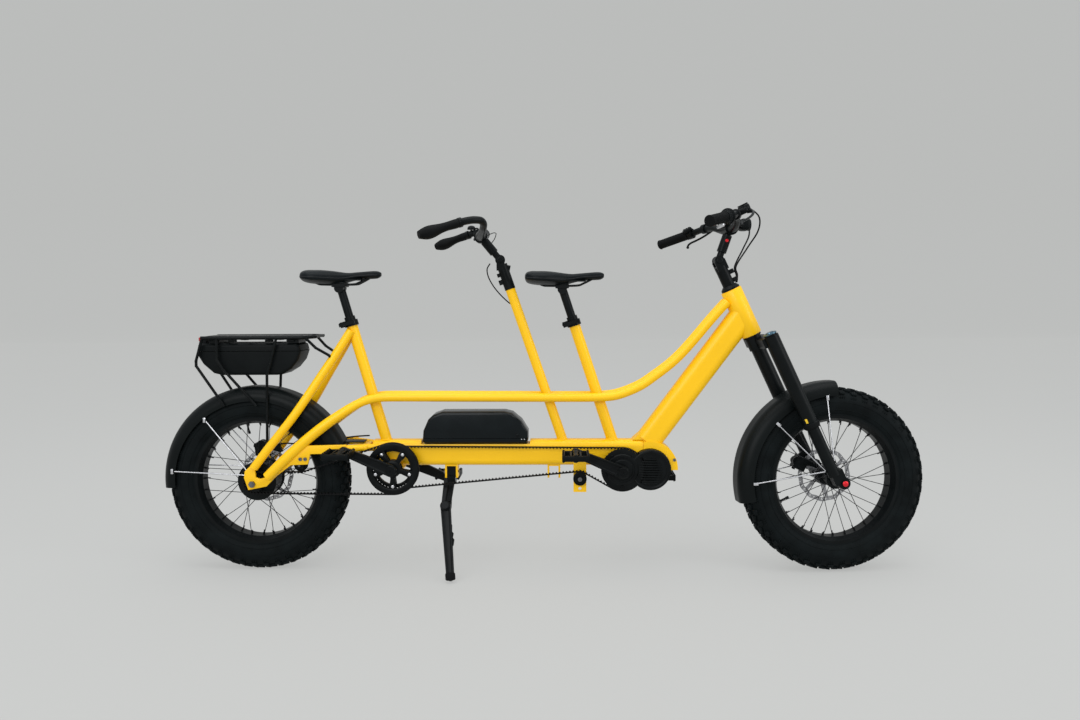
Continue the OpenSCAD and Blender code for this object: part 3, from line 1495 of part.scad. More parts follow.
front_frame();
boom();
posts();
rails();
rear_stays();
motor();
fittings();
frame_bolts();
belts();
frame_cables();
rack();
rack_box();
rear_mudguard();
rear_caliper();
stoker_stem_base();
battery();
stoker_stem_arm();
stoker_bar();
stoker_grips();
kickstand_leg();
rear_seatpost();
rear_saddle();
front_seatpost();
front_saddle();
rear_collar_lever();
front_collar_lever();
fork_upper();
stem_base();
stem_arm();
handlebar();
grips();
display();
headlight();
bar_controls();
twist_shifter();
left_brake_lever();
right_brake_lever();
bar_cables();
fork_lower();
front_mudguard();
front_caliper();
front_tyre();
front_rim();
front_spokes();
front_hub();
front_rotor();
rear_tyre();
rear_rim();
rear_spokes();
rear_hub();
rear_rotor();
rear_cog();
front_crank();
rear_crank();
pedal(front_bb, 1);  // front_left_pedal
pedal(front_bb, -1);  // front_right_pedal
pedal(rear_bb, 1);  // rear_left_pedal
pedal(rear_bb, -1);  // rear_right_pedal
front_idler();
rear_idler();
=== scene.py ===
"""Looks of a fat-tyre tandem bicycle: paint, rubber, tread, belts, saddles, grips and controls.

Lengths inside the piece functions are millimetres. Places along the bicycle are measured from
the rear axle (X ahead, Y to the rider's left, Z up from the ground), and places on the fork and
front bar from the bottom of the head tube, in the turned steering frame.
"""

import json
from math import acos, asin, atan2, ceil, cos, pi, radians, sin, sqrt

import bpy
from bpy.props import FloatProperty, FloatVectorProperty, IntProperty, PointerProperty
from mathutils import Matrix, Vector


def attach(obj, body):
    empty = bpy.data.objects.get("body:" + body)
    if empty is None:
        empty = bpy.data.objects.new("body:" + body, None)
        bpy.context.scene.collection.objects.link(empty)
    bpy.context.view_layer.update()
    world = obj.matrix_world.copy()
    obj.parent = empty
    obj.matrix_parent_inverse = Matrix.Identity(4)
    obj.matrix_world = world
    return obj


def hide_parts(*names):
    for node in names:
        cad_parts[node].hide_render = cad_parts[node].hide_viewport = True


bl_info = {
    "name": "Tandem Bicycle Finish",
    "version": (1, 0, 0),
    "blender": (4, 5, 0),
    "location": "View3D > Sidebar > Tandem",
    "description": "Builds the visible pieces and finishes of a fat-tyre tandem bicycle",
    "category": "Object",
}

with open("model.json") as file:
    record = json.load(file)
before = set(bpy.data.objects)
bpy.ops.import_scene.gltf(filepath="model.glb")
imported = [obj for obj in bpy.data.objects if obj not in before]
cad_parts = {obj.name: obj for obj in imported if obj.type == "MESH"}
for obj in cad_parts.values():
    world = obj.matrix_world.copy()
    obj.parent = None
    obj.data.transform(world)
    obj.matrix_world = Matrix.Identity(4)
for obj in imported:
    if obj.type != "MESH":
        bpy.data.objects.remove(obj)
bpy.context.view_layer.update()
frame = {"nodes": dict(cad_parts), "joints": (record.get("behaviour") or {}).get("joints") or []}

MM = 0.001
JOINT = {j["name"]: j for j in frame["joints"]}
REAR_AXLE = Vector(JOINT["rear_wheel_spin"]["pos_m"])
HEAD_LOW = Vector(JOINT["steering"]["pos_m"])
STEER_Z = Vector(JOINT["steering"]["axis"]).normalized()
STEER_Y = Vector(JOINT["front_wheel_spin"]["axis"]).normalized()
STEER_X = STEER_Y.cross(STEER_Z)

TYRE_R = 300
HEAD_LENGTH = 162
AXLE_DOWN = -540
FORK_RAKE = 43
LEG_AHEAD = 28
LEG_Y = 90
BELT_PITCH = 11
BELT_WIDTH = 11
BELT_BACK = 2.4
BELT_FACE = 0.4
TIMING_TEETH = 40
DRIVE_TEETH = 48
COG_TEETH = 20
TIMING_Y = 47
DRIVE_Y = 63
IDLER_R = 22
CRANK_ARM = 165
CRANK_REST = radians(23)
ARM_Y = 96
REAR_BB = (455, 346)
FRONT_BB = (1200, 340)
MOTOR = (1291, 338)
FRONT_IDLER = (1063, 309)
REAR_IDLER = (155, TYRE_R + COG_TEETH * BELT_PITCH / (2 * pi) + BELT_BACK + IDLER_R + 0.4)
BAR_CLAMP = Vector((79, 0, HEAD_LENGTH + 178))
STEM_PIVOT = Vector((2, 0, HEAD_LENGTH + 101))


# ---------------------------------------------------------------- places


def at(x, y, z):
    """Place on the bicycle, in metres."""
    return Vector((REAR_AXLE.x + x * MM, y * MM, z * MM))


def steer(p):
    """Place on the turned fork and bar, in metres."""
    return HEAD_LOW + (STEER_X * p[0] + STEER_Y * p[1] + STEER_Z * p[2]) * MM


def steer_way(v):
    """Direction on the turned fork and bar."""
    return STEER_X * v[0] + STEER_Y * v[1] + STEER_Z * v[2]


def stand(origin, x=(1, 0, 0), z=(0, 0, 1), stretch=(1, 1, 1)):
    """Matrix of a piece drawn in millimetres: origin in metres, local x and z ways."""
    zed = Vector(z).normalized()
    wye = zed.cross(Vector(x)).normalized()
    ex = wye.cross(zed)
    m = Matrix((ex * stretch[0], wye * stretch[1], zed * stretch[2])).transposed() * MM
    return Matrix.Translation(origin) @ m.to_4x4()


def near_face(x, y, z):
    """Drawn as seen from the drive side: local x ahead, y up and z outward to that side."""
    return stand(at(x, y, z), (1, 0, 0), (0, -1, 0))


def on_bike():
    """Drawn in bicycle millimetres from the rear axle."""
    return stand(at(0, 0, 0))


def on_fork():
    """Drawn in steering millimetres from the bottom of the head tube."""
    return stand(HEAD_LOW, STEER_X, STEER_Z)


FRONT_WHEEL = stand(steer((FORK_RAKE, 0, AXLE_DOWN)), STEER_X, -STEER_Y)
REAR_WHEEL = near_face(0, 0, TYRE_R)


def smooth(points, n):
    """Points of a smooth curve through the given points."""
    p = [Vector(q) for q in points]
    knot = lambda i: p[max(0, min(len(p) - 1, i))]
    out = []
    for i in range(len(p) - 1):
        a, b, c, d = knot(i - 1), knot(i), knot(i + 1), knot(i + 2)
        for k in range(n):
            t = k / n
            out.append(0.5 * (2 * b + t * (c - a) + t * t * (2 * a - 5 * b + 4 * c - d) + t**3 * (3 * b - a - 3 * c + d)))
    return out + [p[-1]]


def relax(points, gap=9, rounds=40):
    """The same line with evenly spaced points and its corners eased; both ends stay where they are."""
    line = [points[0]]
    for a, b in zip(points, points[1:]):
        n = max(1, round((b - a).length / gap))
        line += [a.lerp(b, k / n) for k in range(1, n + 1)]
    for _ in range(rounds):
        line = [line[0]] + [(a + 2 * b + c) / 4 for a, b, c in zip(line, line[1:], line[2:])] + [line[-1]]
    return line


def flip(points, side):
    """The same points on the left (1) or right (-1) side."""
    return [Vector((p[0], side * p[1], p[2])) for p in points]


# ---------------------------------------------------------------- modelling


def deselect():
    if bpy.context.object and bpy.context.object.mode != "OBJECT":
        bpy.ops.object.mode_set(mode="OBJECT")
    bpy.ops.object.select_all(action="DESELECT")


def activate(obj):
    deselect()
    obj.select_set(True)
    bpy.context.view_layer.objects.active = obj


def place(obj, matrix):
    """Writes a place into the mesh, so that the object stays at the origin."""
    activate(obj)
    obj.matrix_world = matrix @ obj.matrix_world
    bpy.ops.object.transform_apply(location=True, rotation=True, scale=True)
    return obj


def bevel(obj, width, segments=2, angle=35):
    m = obj.modifiers.new("edge", "BEVEL")
    m.width = width
    m.segments = segments
    m.limit_method = "ANGLE"
    m.angle_limit = radians(angle)
    activate(obj)
    bpy.ops.object.modifier_apply(modifier=m.name)
    return obj


def soften(obj, angle=40):
    activate(obj)
    bpy.ops.object.shade_smooth_by_angle(angle=radians(angle))
    return obj


def outward(obj):
    """Merges doubles and turns the faces outward."""
    activate(obj)
    bpy.ops.object.mode_set(mode="EDIT")
    bpy.ops.mesh.select_all(action="SELECT")
    bpy.ops.mesh.remove_doubles(threshold=0.001)
    bpy.ops.mesh.normals_make_consistent(inside=False)
    bpy.ops.object.mode_set(mode="OBJECT")
    return obj


def draw(points, closed=False, fill=False):
    """Line drawn point by point with extrusions; closed and filled where asked."""
    deselect()
    bpy.ops.mesh.primitive_plane_add(size=1)
    obj = bpy.context.object
    bpy.ops.object.mode_set(mode="EDIT")
    bpy.ops.mesh.select_mode(type="VERT")
    bpy.ops.mesh.select_all(action="SELECT")
    bpy.ops.mesh.merge(type="CENTER")
    bpy.ops.transform.translate(value=Vector(points[0]))
    for a, b in zip(points, points[1:]):
        bpy.ops.mesh.extrude_region_move(TRANSFORM_OT_translate={"value": Vector(b) - Vector(a)})
    if closed:
        bpy.ops.mesh.select_all(action="DESELECT")
        bpy.ops.object.mode_set(mode="OBJECT")
        for v in (obj.data.vertices[0], obj.data.vertices[-1]):
            v.select = True
        bpy.ops.object.mode_set(mode="EDIT")
        bpy.ops.mesh.edge_face_add()
    if fill:
        bpy.ops.mesh.select_all(action="SELECT")
        bpy.ops.mesh.edge_face_add()
    return obj


def lathe(profile, steps=64, closed=True):
    """Profile of (radius, height) turned round the local Z axis."""
    obj = draw([(r, 0, z) for r, z in profile], closed)
    bpy.ops.mesh.select_all(action="SELECT")
    bpy.ops.mesh.spin(steps=steps, angle=2 * pi, center=(0, 0, 0), axis=(0, 0, 1))
    return outward(obj)


def plate(outline, thick, edge=0, segments=2):
    """Flat outline in local XY, raised to its thickness, with rounded edges."""
    obj = draw([(x, y, 0) for x, y in outline], True, True)
    bpy.ops.mesh.extrude_region_move(TRANSFORM_OT_translate={"value": (0, 0, thick)})
    outward(obj)
    return bevel(obj, edge, segments) if edge else obj


def block(size, centre=(0, 0, 0), edge=1, segments=2, turn=None):
    deselect()
    bpy.ops.mesh.primitive_cube_add(size=1)
    obj = bpy.context.object
    obj.scale = size
    bpy.ops.object.transform_apply(location=False, rotation=False, scale=True)
    bevel(obj, edge, segments)
    m = Matrix.Translation(centre) @ (turn or Matrix.Identity(4))
    return place(obj, m)


def pin(radius, low, high, centre=(0, 0), edge=0.6, sides=40):
    """Round pin along local Z with bevelled ends."""
    deselect()
    bpy.ops.mesh.primitive_cylinder_add(
        vertices=sides, radius=radius, depth=high - low, location=(centre[0], centre[1], (low + high) / 2)
    )
    obj = bpy.context.object
    bpy.ops.object.transform_apply(location=True, rotation=False, scale=False)
    return bevel(obj, edge, 2, 50)


def tube(points, radius, radii=None, sides=4, closed=False):
    """Round tube along a line, its radius scaled point by point where radii are given."""
    deselect()
    bpy.ops.curve.primitive_nurbs_path_add()
    obj = bpy.context.object
    curve = obj.data
    curve.splines.clear()
    line = curve.splines.new("POLY")
    line.points.add(len(points) - 1)
    for i, p in enumerate(points):
        line.points[i].co = (*p, 1)
        line.points[i].radius = radii[i] if radii else 1
    line.use_cyclic_u = closed
    curve.dimensions = "3D"
    curve.twist_mode = "MINIMUM"
    curve.bevel_depth = radius
    curve.bevel_resolution = sides
    curve.use_fill_caps = not closed
    activate(obj)
    bpy.ops.object.convert(target="MESH")
    return outward(bpy.context.object)


def rod(a, b, radius, sides=4):
    return tube([Vector(a), Vector(b)], radius, sides=sides)


def join(parts):
    deselect()
    for p in parts:
        p.select_set(True)
    bpy.context.view_layer.objects.active = parts[0]
    bpy.ops.object.join()
    return bpy.context.object


def cut(obj, cutter):
    m = obj.modifiers.new("cut", "BOOLEAN")
    m.operation = "DIFFERENCE"
    m.solver = "EXACT"
    m.object = cutter
    activate(obj)
    bpy.ops.object.modifier_apply(modifier=m.name)
    bpy.data.objects.remove(cutter)
    return obj


def twin(obj, matrix):
    """Copy with its own mesh, placed by a local matrix."""
    copy = obj.copy()
    copy.data = obj.data.copy()
    bpy.context.scene.collection.objects.link(copy)
    copy.data.transform(matrix)
    return copy


def ring_of(obj, count, start=0.0):
    """A piece repeated round the local Z axis."""
    copies = [twin(obj, Matrix.Rotation(start + 2 * pi * k / count, 4, "Z")) for k in range(count)]
    bpy.data.objects.remove(obj)
    return join(copies)


def spin_outline(length, r0, r1, steps=12):
    """Outline of an arm: a round end at 0 and one at length, joined by straight sides."""
    a = acos((r0 - r1) / length)
    big = [(r0 * cos(t), r0 * sin(t)) for t in [a + (2 * pi - 2 * a) * k / steps for k in range(steps + 1)]]
    small = [(length + r1 * cos(t), r1 * sin(t)) for t in [-a + 2 * a * k / steps for k in range(steps + 1)]]
    return big + small


def finish_piece(obj, name, body, look, matrix=None, angle=40, replaces=()):
    """Last steps of each piece: place, smooth shading, name, finish and what it rides on."""
    if matrix is not None:
        place(obj, matrix)
    soften(obj, angle)
    obj.name = name
    obj.data.name = name
    obj.data.materials.clear()
    obj.data.materials.append(look)
    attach(obj, body)
    if replaces:
        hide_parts(*replaces)
    return obj


# ---------------------------------------------------------------- finishes


def look(name, colour, rough, metal=0.0, mottle=0.08, mottle_scale=18, bump=0.1, bump_scale=900,
         bump_kind="noise", coat=0.0, emit=0.0, rough_spread=0.08, gloss=0.5):
    """Material whose colour, roughness and grain vary over Object coordinates."""
    name += "_finish"
    if name in bpy.data.materials:
        return bpy.data.materials[name]
    mat = bpy.data.materials.new(name)
    mat.use_nodes = True
    nodes, links = mat.node_tree.nodes, mat.node_tree.links
    bsdf = nodes["Principled BSDF"]
    coords = nodes.new("ShaderNodeTexCoord")
    broad = nodes.new("ShaderNodeTexNoise")
    broad.inputs["Scale"].default_value = mottle_scale
    broad.inputs["Detail"].default_value = 6
    links.new(coords.outputs["Object"], broad.inputs["Vector"])
    ramp = nodes.new("ShaderNodeValToRGB")
    ramp.color_ramp.elements[0].position = 0.3
    ramp.color_ramp.elements[1].position = 0.7
    ramp.color_ramp.elements[0].color = [c * (1 - mottle) for c in colour] + [1]
    ramp.color_ramp.elements[1].color = [min(1, c * (1 + mottle) + mottle * 0.004) for c in colour] + [1]
    links.new(broad.outputs["Fac"], ramp.inputs["Fac"])
    links.new(ramp.outputs["Color"], bsdf.inputs["Base Color"])
    wear = nodes.new("ShaderNodeMapRange")
    wear.inputs["To Min"].default_value = max(0.02, rough - rough_spread)
    wear.inputs["To Max"].default_value = min(1, rough + rough_spread)
    links.new(broad.outputs["Fac"], wear.inputs["Value"])
    links.new(wear.outputs["Result"], bsdf.inputs["Roughness"])
    if bump_kind == "cells":
        fine = nodes.new("ShaderNodeTexVoronoi")
        height = fine.outputs["Distance"]
    else:
        fine = nodes.new("ShaderNodeTexNoise")
        fine.inputs["Detail"].default_value = 4
        height = fine.outputs["Fac"]
    fine.inputs["Scale"].default_value = bump_scale
    links.new(coords.outputs["Object"], fine.inputs["Vector"])
    relief = nodes.new("ShaderNodeBump")
    relief.inputs["Strength"].default_value = bump
    relief.inputs["Distance"].default_value = 0.0004
    links.new(height, relief.inputs["Height"])
    links.new(relief.outputs["Normal"], bsdf.inputs["Normal"])
    bsdf.inputs["Metallic"].default_value = metal
    bsdf.inputs["Specular IOR Level"].default_value = gloss
    bsdf.inputs["Coat Weight"].default_value = coat
    bsdf.inputs["Coat Roughness"].default_value = 0.12
    if emit:
        bsdf.inputs["Emission Color"].default_value = [*colour, 1]
        bsdf.inputs["Emission Strength"].default_value = emit
    return mat


def yellow_paint():
    tone = bpy.context.scene.tandem_finish.frame_colour
    return look("yellow_powder_coat", tone, 0.4, mottle=0.02, mottle_scale=9, bump=0.05, bump_scale=700, coat=0.1,
        gloss=0.3)


def black_paint():
    return look("black_satin_paint", (0.003, 0.0042, 0.0045), 0.36, mottle=0.2, bump=0.05, bump_scale=900, coat=0.02,
        gloss=0.1)


def black_alloy():
    return look("black_anodised", (0.004, 0.005, 0.0053), 0.33, metal=0.2, gloss=0.11, mottle=0.25, mottle_scale=30,
        bump=0.06, bump_scale=1600)


def gloss_case():
    return look("gloss_black_case", (0.002, 0.004, 0.0048), 0.2, mottle=0.2, bump=0.02, bump_scale=300, coat=0.06,
        gloss=0.13, rough_spread=0.04)


def moulded_plastic():
    return look("grained_black_plastic", (0.003, 0.0042, 0.0045), 0.45, gloss=0.09, mottle=0.15, bump=0.25,
        bump_scale=1500)


def guard_plastic():
    return look("mudguard_plastic", (0.003, 0.0045, 0.0046), 0.38, gloss=0.1, mottle=0.2, mottle_scale=8, bump=0.1,
        bump_scale=1100, rough_spread=0.12)


def tyre_rubber():
    return look("tyre_rubber", (0.0028, 0.0046, 0.005), 0.62, mottle=0.35, mottle_scale=22, bump=0.35,
        bump_scale=1300, gloss=0.08, rough_spread=0.14)


def belt_rubber():
    return look("belt_rubber", (0.004, 0.004, 0.0045), 0.6, gloss=0.1, mottle=0.2, bump=0.3, bump_scale=2400)


def grip_rubber():
    return look("grip_rubber", (0.004, 0.0045, 0.0048), 0.62, gloss=0.07, mottle=0.2, bump=0.3, bump_scale=900,
        bump_kind="cells")


def cable_skin():
    return look("hose_skin", (0.004, 0.004, 0.0045), 0.4, gloss=0.1, mottle=0.15, bump=0.1, bump_scale=1800)


def saddle_vinyl():
    return look("saddle_vinyl", (0.0035, 0.0055, 0.0065), 0.36, mottle=0.25, mottle_scale=12, bump=0.2,
        bump_scale=750, bump_kind="cells", coat=0.0, gloss=0.1)


def bright_steel():
    return look("bright_steel", (0.62, 0.62, 0.64), 0.3, metal=1, mottle=0.12, mottle_scale=60, bump=0.08,
        bump_scale=1800)


def dull_steel():
    return look("dull_steel", (0.16, 0.16, 0.165), 0.35, metal=1, mottle=0.15, mottle_scale=60, bump=0.08,
        bump_scale=1800)


def rotor_steel():
    return look("rotor_steel", (0.34, 0.34, 0.35), 0.34, metal=1, mottle=0.2, mottle_scale=90, bump=0.3,
        bump_scale=1400, rough_spread=0.12)


def dark_spoke():
    return look("black_spoke", (0.02, 0.02, 0.022), 0.3, metal=0.7, mottle=0.2, mottle_scale=80, bump=0.05)


def thread():
    return look("stitch_thread", (0.012, 0.013, 0.014), 0.7, gloss=0.25, mottle=0.3, mottle_scale=500, bump=0.6,
        bump_scale=3000)


def red_anodised():
    return look("red_anodised", (0.75, 0.02, 0.03), 0.3, metal=0.6, mottle=0.1, bump=0.05)


def lamp_red():
    return look("tail_lens", (0.35, 0.006, 0.008), 0.12, mottle=0.1, bump=0.3, bump_scale=500, bump_kind="cells",
        coat=0.8)


def lamp_clear():
    return look("front_lens", (0.55, 0.57, 0.6), 0.08, metal=0.4, mottle=0.1, bump=0.5, bump_scale=260,
        bump_kind="cells", coat=1.0)


def screen_glass():
    return look("screen_glass", (0.01, 0.014, 0.018), 0.06, mottle=0.1, bump=0.01, coat=1.0)


def yellow_mark():
    return look("yellow_mark", (0.85, 0.55, 0.02), 0.4, mottle=0.05, bump=0.05)


def pale_mark():
    return look("pale_mark", (0.5, 0.51, 0.52), 0.45, mottle=0.1, bump=0.05)


# ---------------------------------------------------------------- wheels


def casing():
    """Fat tyre casing: bulged sidewalls, rounded crown, open towards the rim."""
    half = [(204, -31), (206.5, -37.5), (211, -39.2), (214, -39), (217, -42.5), (230, -46.4), (244, -48.6),
        (257, -48.2),
            (268, -45.4), (278, -39.5), (286, -30.5), (291, -19), (293.2, -8)]
    inner = [(284, -22), (266, -38), (242, -42), (220, -36)]
    profile = half + [(293.6, 0)] + [(r, -z) for r, z in reversed(half)]
    profile += [(r, -z) for r, z in reversed(inner)] + [(287, 0)] + inner
    return lathe(profile, 144)


def tread_block(radius, across, tilt, yaw, size, count, start):
    """One row of tread blocks round the tyre."""
    b = block(size, edge=1.1, segments=1)
    m = Matrix.Translation((radius, 0, across)) @ Matrix.Rotation(tilt, 4, "Y") @ Matrix.Rotation(yaw, 4, "X")
    place(b, m)
    return ring_of(b, count, start)


def tyre(name, body, matrix):
    n = bpy.context.scene.tandem_sizes.tread_blocks
    step = 2 * pi / n
    rows = [casing()]
    for s in (-1, 1):
        off = 0 if s < 0 else step / 2
        rows.append(tread_block(294.6, s * 10.5, s * radians(3), s * radians(22), (8.6, 21, 16), n, off))
        rows.append(tread_block(290.6, s * 26, s * radians(-26), s * radians(-14), (9.5, 22, 12), n, off + step / 2))
        rows.append(tread_block(282, s * 36.8, s * radians(-48), 0, (10, 19, 12), n, off))
        for k in (-1, 0, 1):
            rows.append(tread_block(266, s * 46.4, s * radians(-14), 0, (15, 2.4, 2.6), n, off + k * radians(1.5)))
        rows.append(lathe([(226, s * 45.2), (227.5, s * 46.9), (229, s * 45.8)], 144))
        rows.append(lathe([(251, s * 48), (252.2, s * 49.4), (253.4, s * 48)], 144))
    return finish_piece(join(rows), name + "_tyre_tread", body, tyre_rubber(), matrix, 50, [name + "_tyre"])


def valve(name, body, matrix, angle):
    parts = [pin(3, 0, 34), pin(4.2, 26, 36), pin(5.5, -3, 3)]
    m = Matrix.Rotation(angle, 4, "Z") @ Matrix.Translation((191, 0, 0)) @ Matrix.Rotation(radians(-90), 4, "Y")
    return finish_piece(join(parts), name + "_valve", body, black_alloy(), matrix @ m)


def nipples(name, body, matrix, count=32):
    one = place(pin(1.9, 0, 9, edge=0.4, sides=12),
        Matrix.Translation((191, 0, 0)) @ Matrix.Rotation(radians(-90), 4, "Y"))
    return finish_piece(ring_of(one, count), name + "_nipple_seats", body, dark_spoke(), matrix)


def rotor(name, body, matrix, across):
    """Wave-edged brake disc with slots, on six slanting arms."""
    n = 12
    wave = lambda r, amp, t: r + amp * cos(n * t)
    steps = 144
    outer = [(wave(88.6, 1.2, 2 * pi * k / steps) * cos(2 * pi * k / steps),
              wave(88.6, 1.2, 2 * pi * k / steps) * sin(2 * pi * k / steps)) for k in range(steps)]
    inner = [(wave(75, 1.6, 2 * pi * k / steps) * cos(2 * pi * k / steps),
              wave(75, 1.6, 2 * pi * k / steps) * sin(2 * pi * k / steps)) for k in range(steps)]
    ring = cut(plate(outer, 1.8), place(plate(inner, 6), Matrix.Translation((0, 0, -2))))
    slots = []
    for k in range(n):
        for j, (r, turn, l) in enumerate(((82.5, 0.6, 9), (81.5, -0.5, 7), (84.5, 0.2, 4))):
            s = block((l, 2.8, 6), edge=1.2, segments=2)
            a = 2 * pi * (k + j / 3) / n
            place(s, Matrix.Rotation(a, 4, "Z") @ Matrix.Translation((r, 0, 1)) @ Matrix.Rotation(turn, 4, "Z"))
            slots.append(s)
    cut(ring, join(slots))
    arm = plate([(26, -6), (50, 1), (75, 11), (77, 22), (70, 21), (46, 12), (26, 7)], 1.8)
    carrier = lathe([(17.5, -0.6), (33, -0.6), (33, 2.4), (17.5, 2.4)], 48)
    bolt = pin(3.2, 1, 4.6, (25, 0), 0.6, 16)
    parts = [ring, ring_of(arm, 6), carrier, ring_of(bolt, 6, 0.5)]
    shift = Matrix.Translation((0, 0, across))
    return finish_piece(join(parts), name + "_disc", body, rotor_steel(), matrix @ shift, 35,
        [name + "_rotor"])


class TANDEM_OT_wheels(bpy.types.Operator):
    """Lay the tyres, discs, valves and nipples on both wheels"""

    bl_idname = "tandem.wheels"
    bl_label = "Wheels"

    def execute(self, context):
        for name, matrix, angle, across in (("rear", REAR_WHEEL, radians(103), -55.2),
            ("front", FRONT_WHEEL, radians(178), -58.2)):
            body = name + "_wheel"
            tyre(name, body, matrix)
            valve(name, body, matrix, angle)
            nipples(name, body, matrix)
            rotor(name, body, matrix, across)
        return {"FINISHED"}


# ---------------------------------------------------------------- frame

RAIL = [
    (1538.8, 18, 879.6), (1495.8, 18, 833.6), (1438.8, 18, 763.6), (1374.8, 20, 689.6), (1313, 23, 646),
    (1283, 25, 623),
    (1253, 28, 604), (1192, 30.3, 581), (1140, 31.3, 573), (800, 31.3, 574), (450, 31.3, 576), (413, 33.3, 575),
    (381, 38.3, 571), (350, 46.3, 561), (320, 56.3, 545), (257, 72.3, 504), (158, 82, 426), (96, 86, 368),
    (52, 87, 324),
]
STAY = [(318, 17, 794), (270, 30, 718), (222, 46, 645), (172, 64, 568), (128, 74, 506), (60, 83, 421), (8, 85, 354)]


def side_rails():
    path = relax(smooth(RAIL, 8))
    radii = [1 + 0.18 * max(0, min(1, (350 - p.x) / 120)) for p in path]
    pair = [tube(flip(path, s), 14.3, radii, 8) for s in (-1, 1)]
    return finish_piece(join(pair), "side_rails", "frame", yellow_paint(), on_bike(), 60, ["rails"])


def stay_pair():
    """Seat stays, their dropout plates, the short struts and the bridge."""
    path = smooth(STAY, 8)
    outline = [(-24, 42), (-27, 20), (-14, -20), (46, -8), (80, 26), (128, 62), (184, 64), (192, 98), (310, 100),
        (310, 128),
               (196, 126), (150, 126), (52, 30), (44, 22), (26, 17), (12, 22), (10, 50), (-4, 60)]
    parts = []
    for s in (-1, 1):
        parts.append(tube(flip(path, s), 14, None, 8))
        p = plate(outline, 9, 1.6)
        parts.append(place(p, Matrix.Translation((0, s * 80 + 4.5, TYRE_R)) @ Matrix.Rotation(radians(90), 4, "X")))
        parts.append(rod((296, s * 77, 414), (410, s * 22, 410), 12, 8))
    parts.append(block((24, 116, 20), (360, 0, 410), 4))
    return finish_piece(join(parts), "seat_stays", "frame", yellow_paint(), on_bike(), 45,
        ["rear_stays"])


def weld_rings():
    """Weld beads where the three posts meet the top of the boom."""
    beads = []
    for x, lean, r in ((423, 15.6, 18), (1169, 18, 18), (1006, 18.7, 16)):
        a = radians(lean)
        line = []
        for k in range(60):
            t = 2 * pi * k / 60
            line.append(Vector((x + (r + 0.6) / cos(a) * cos(t), (r + 0.6) * sin(t), 432.4 + 0.25 * sin(20 * t))))
        beads.append(tube(line, 1.9, None, 3, True))
    return finish_piece(join(beads), "weld_beads", "frame", yellow_paint(), on_bike(), 60)


def head_sleeve():
    """Straight outer wall of the head tube."""
    wall = lathe([(30.2, 2), (33.2, 2), (33.8, 3), (33.8, HEAD_LENGTH - 3), (33.2, HEAD_LENGTH - 2),
        (30.2, HEAD_LENGTH - 2)], 72)
    finish_piece(wall, "head_tube_wall", "frame", yellow_paint(), on_fork(), 40)


class TANDEM_OT_frame(bpy.types.Operator):
    """Draw the rails, stays and weld beads of the frame"""

    bl_idname = "tandem.frame"
    bl_label = "Frame tubes"

    def execute(self, context):
        side_rails()
        stay_pair()
        weld_rings()
        head_sleeve()
        return {"FINISHED"}


# ---------------------------------------------------------------- belt drive


def pitch_radius(teeth):
    return teeth * BELT_PITCH / (2 * pi)


def belt_line(wheels):
    """Pitch line of a belt round its wheels: points with their outward ways, about 1.5 mm apart."""
    n = len(wheels)
    flat = [(Vector(c), r) for c, r in wheels]
    run = []
    for i in range(n):
        (c0, r0), (c1, r1) = flat[i], flat[(i + 1) % n]
        d = c1 - c0
        run.append(atan2(d.y, d.x) - asin((r1 - r0) / d.length))
    line = []
    for i in range(n):
        c, r = flat[i]
        side = 1 if r > 0 else -1
        a0, a1 = run[i - 1] - side * pi / 2, run[i] - side * pi / 2
        wrap = (a1 - a0) % (2 * pi) if r > 0 else -((a0 - a1) % (2 * pi))
        steps = max(2, ceil(abs(wrap * r) / 1.5))
        arc = [a0 + wrap * k / steps for k in range(steps + 1)]
        line += [(c + abs(r) * Vector((cos(t), sin(t))), side * Vector((cos(t), sin(t)))) for t in arc]
        c2, r2 = flat[(i + 1) % n]
        end = c2 + abs(r2) * Vector((cos(run[i] - (1 if r2 > 0 else -1) * pi / 2),
            sin(run[i] - (1 if r2 > 0 else -1) * pi / 2)))
        start, way = line[-1]
        steps = max(2, int((end - start).length / 1.5))
        line += [(start.lerp(end, k / steps), way) for k in range(1, steps)]
    return line


def toothed_belt(name, y, wheels):
    """Belt with its teeth on the inner face, spaced evenly round the whole line."""
    line = belt_line(wheels)
    marks = [0.0]
    for (a, _), (b, _) in zip(line, line[1:] + line[:1]):
        marks.append(marks[-1] + (b - a).length)
    total = marks[-1]
    teeth = round(total / BELT_PITCH)
    rows = []
    index = 0
    tooth = ((0.0, 0), (0.16, 0), (0.3, 3.1), (0.62, 3.1), (0.76, 0))
    for k in range(teeth):
        for share, deep in tooth:
            s = total * (k + share) / teeth
            while marks[index + 1] < s:
                index += 1
            (a, wa), (b, wb) = line[index], line[(index + 1) % len(line)]
            t = (s - marks[index]) / max(1e-9, marks[index + 1] - marks[index])
            p = a.lerp(b, t)
            w = wa.lerp(wb, t).normalized()
            rows.append((p + w * BELT_BACK, p - w * (BELT_FACE + deep)))
    verts, faces = [], []
    for o, i in rows:
        for side in (-1, 1):
            verts.append((o.x, -y + side * BELT_WIDTH / 2, o.y))
            verts.append((i.x, -y + side * BELT_WIDTH / 2, i.y))
    n = len(rows)
    for k in range(n):
        a, b = 4 * k, 4 * ((k + 1) % n)
        for p, q in ((0, 1), (1, 3), (3, 2), (2, 0)):
            faces.append((a + p, a + q, b + q, b + p))
    mesh = bpy.data.meshes.new(name)
    mesh.from_pydata(verts, [], faces)
    obj = bpy.data.objects.new(name, mesh)
    bpy.context.scene.collection.objects.link(obj)
    return outward(obj)


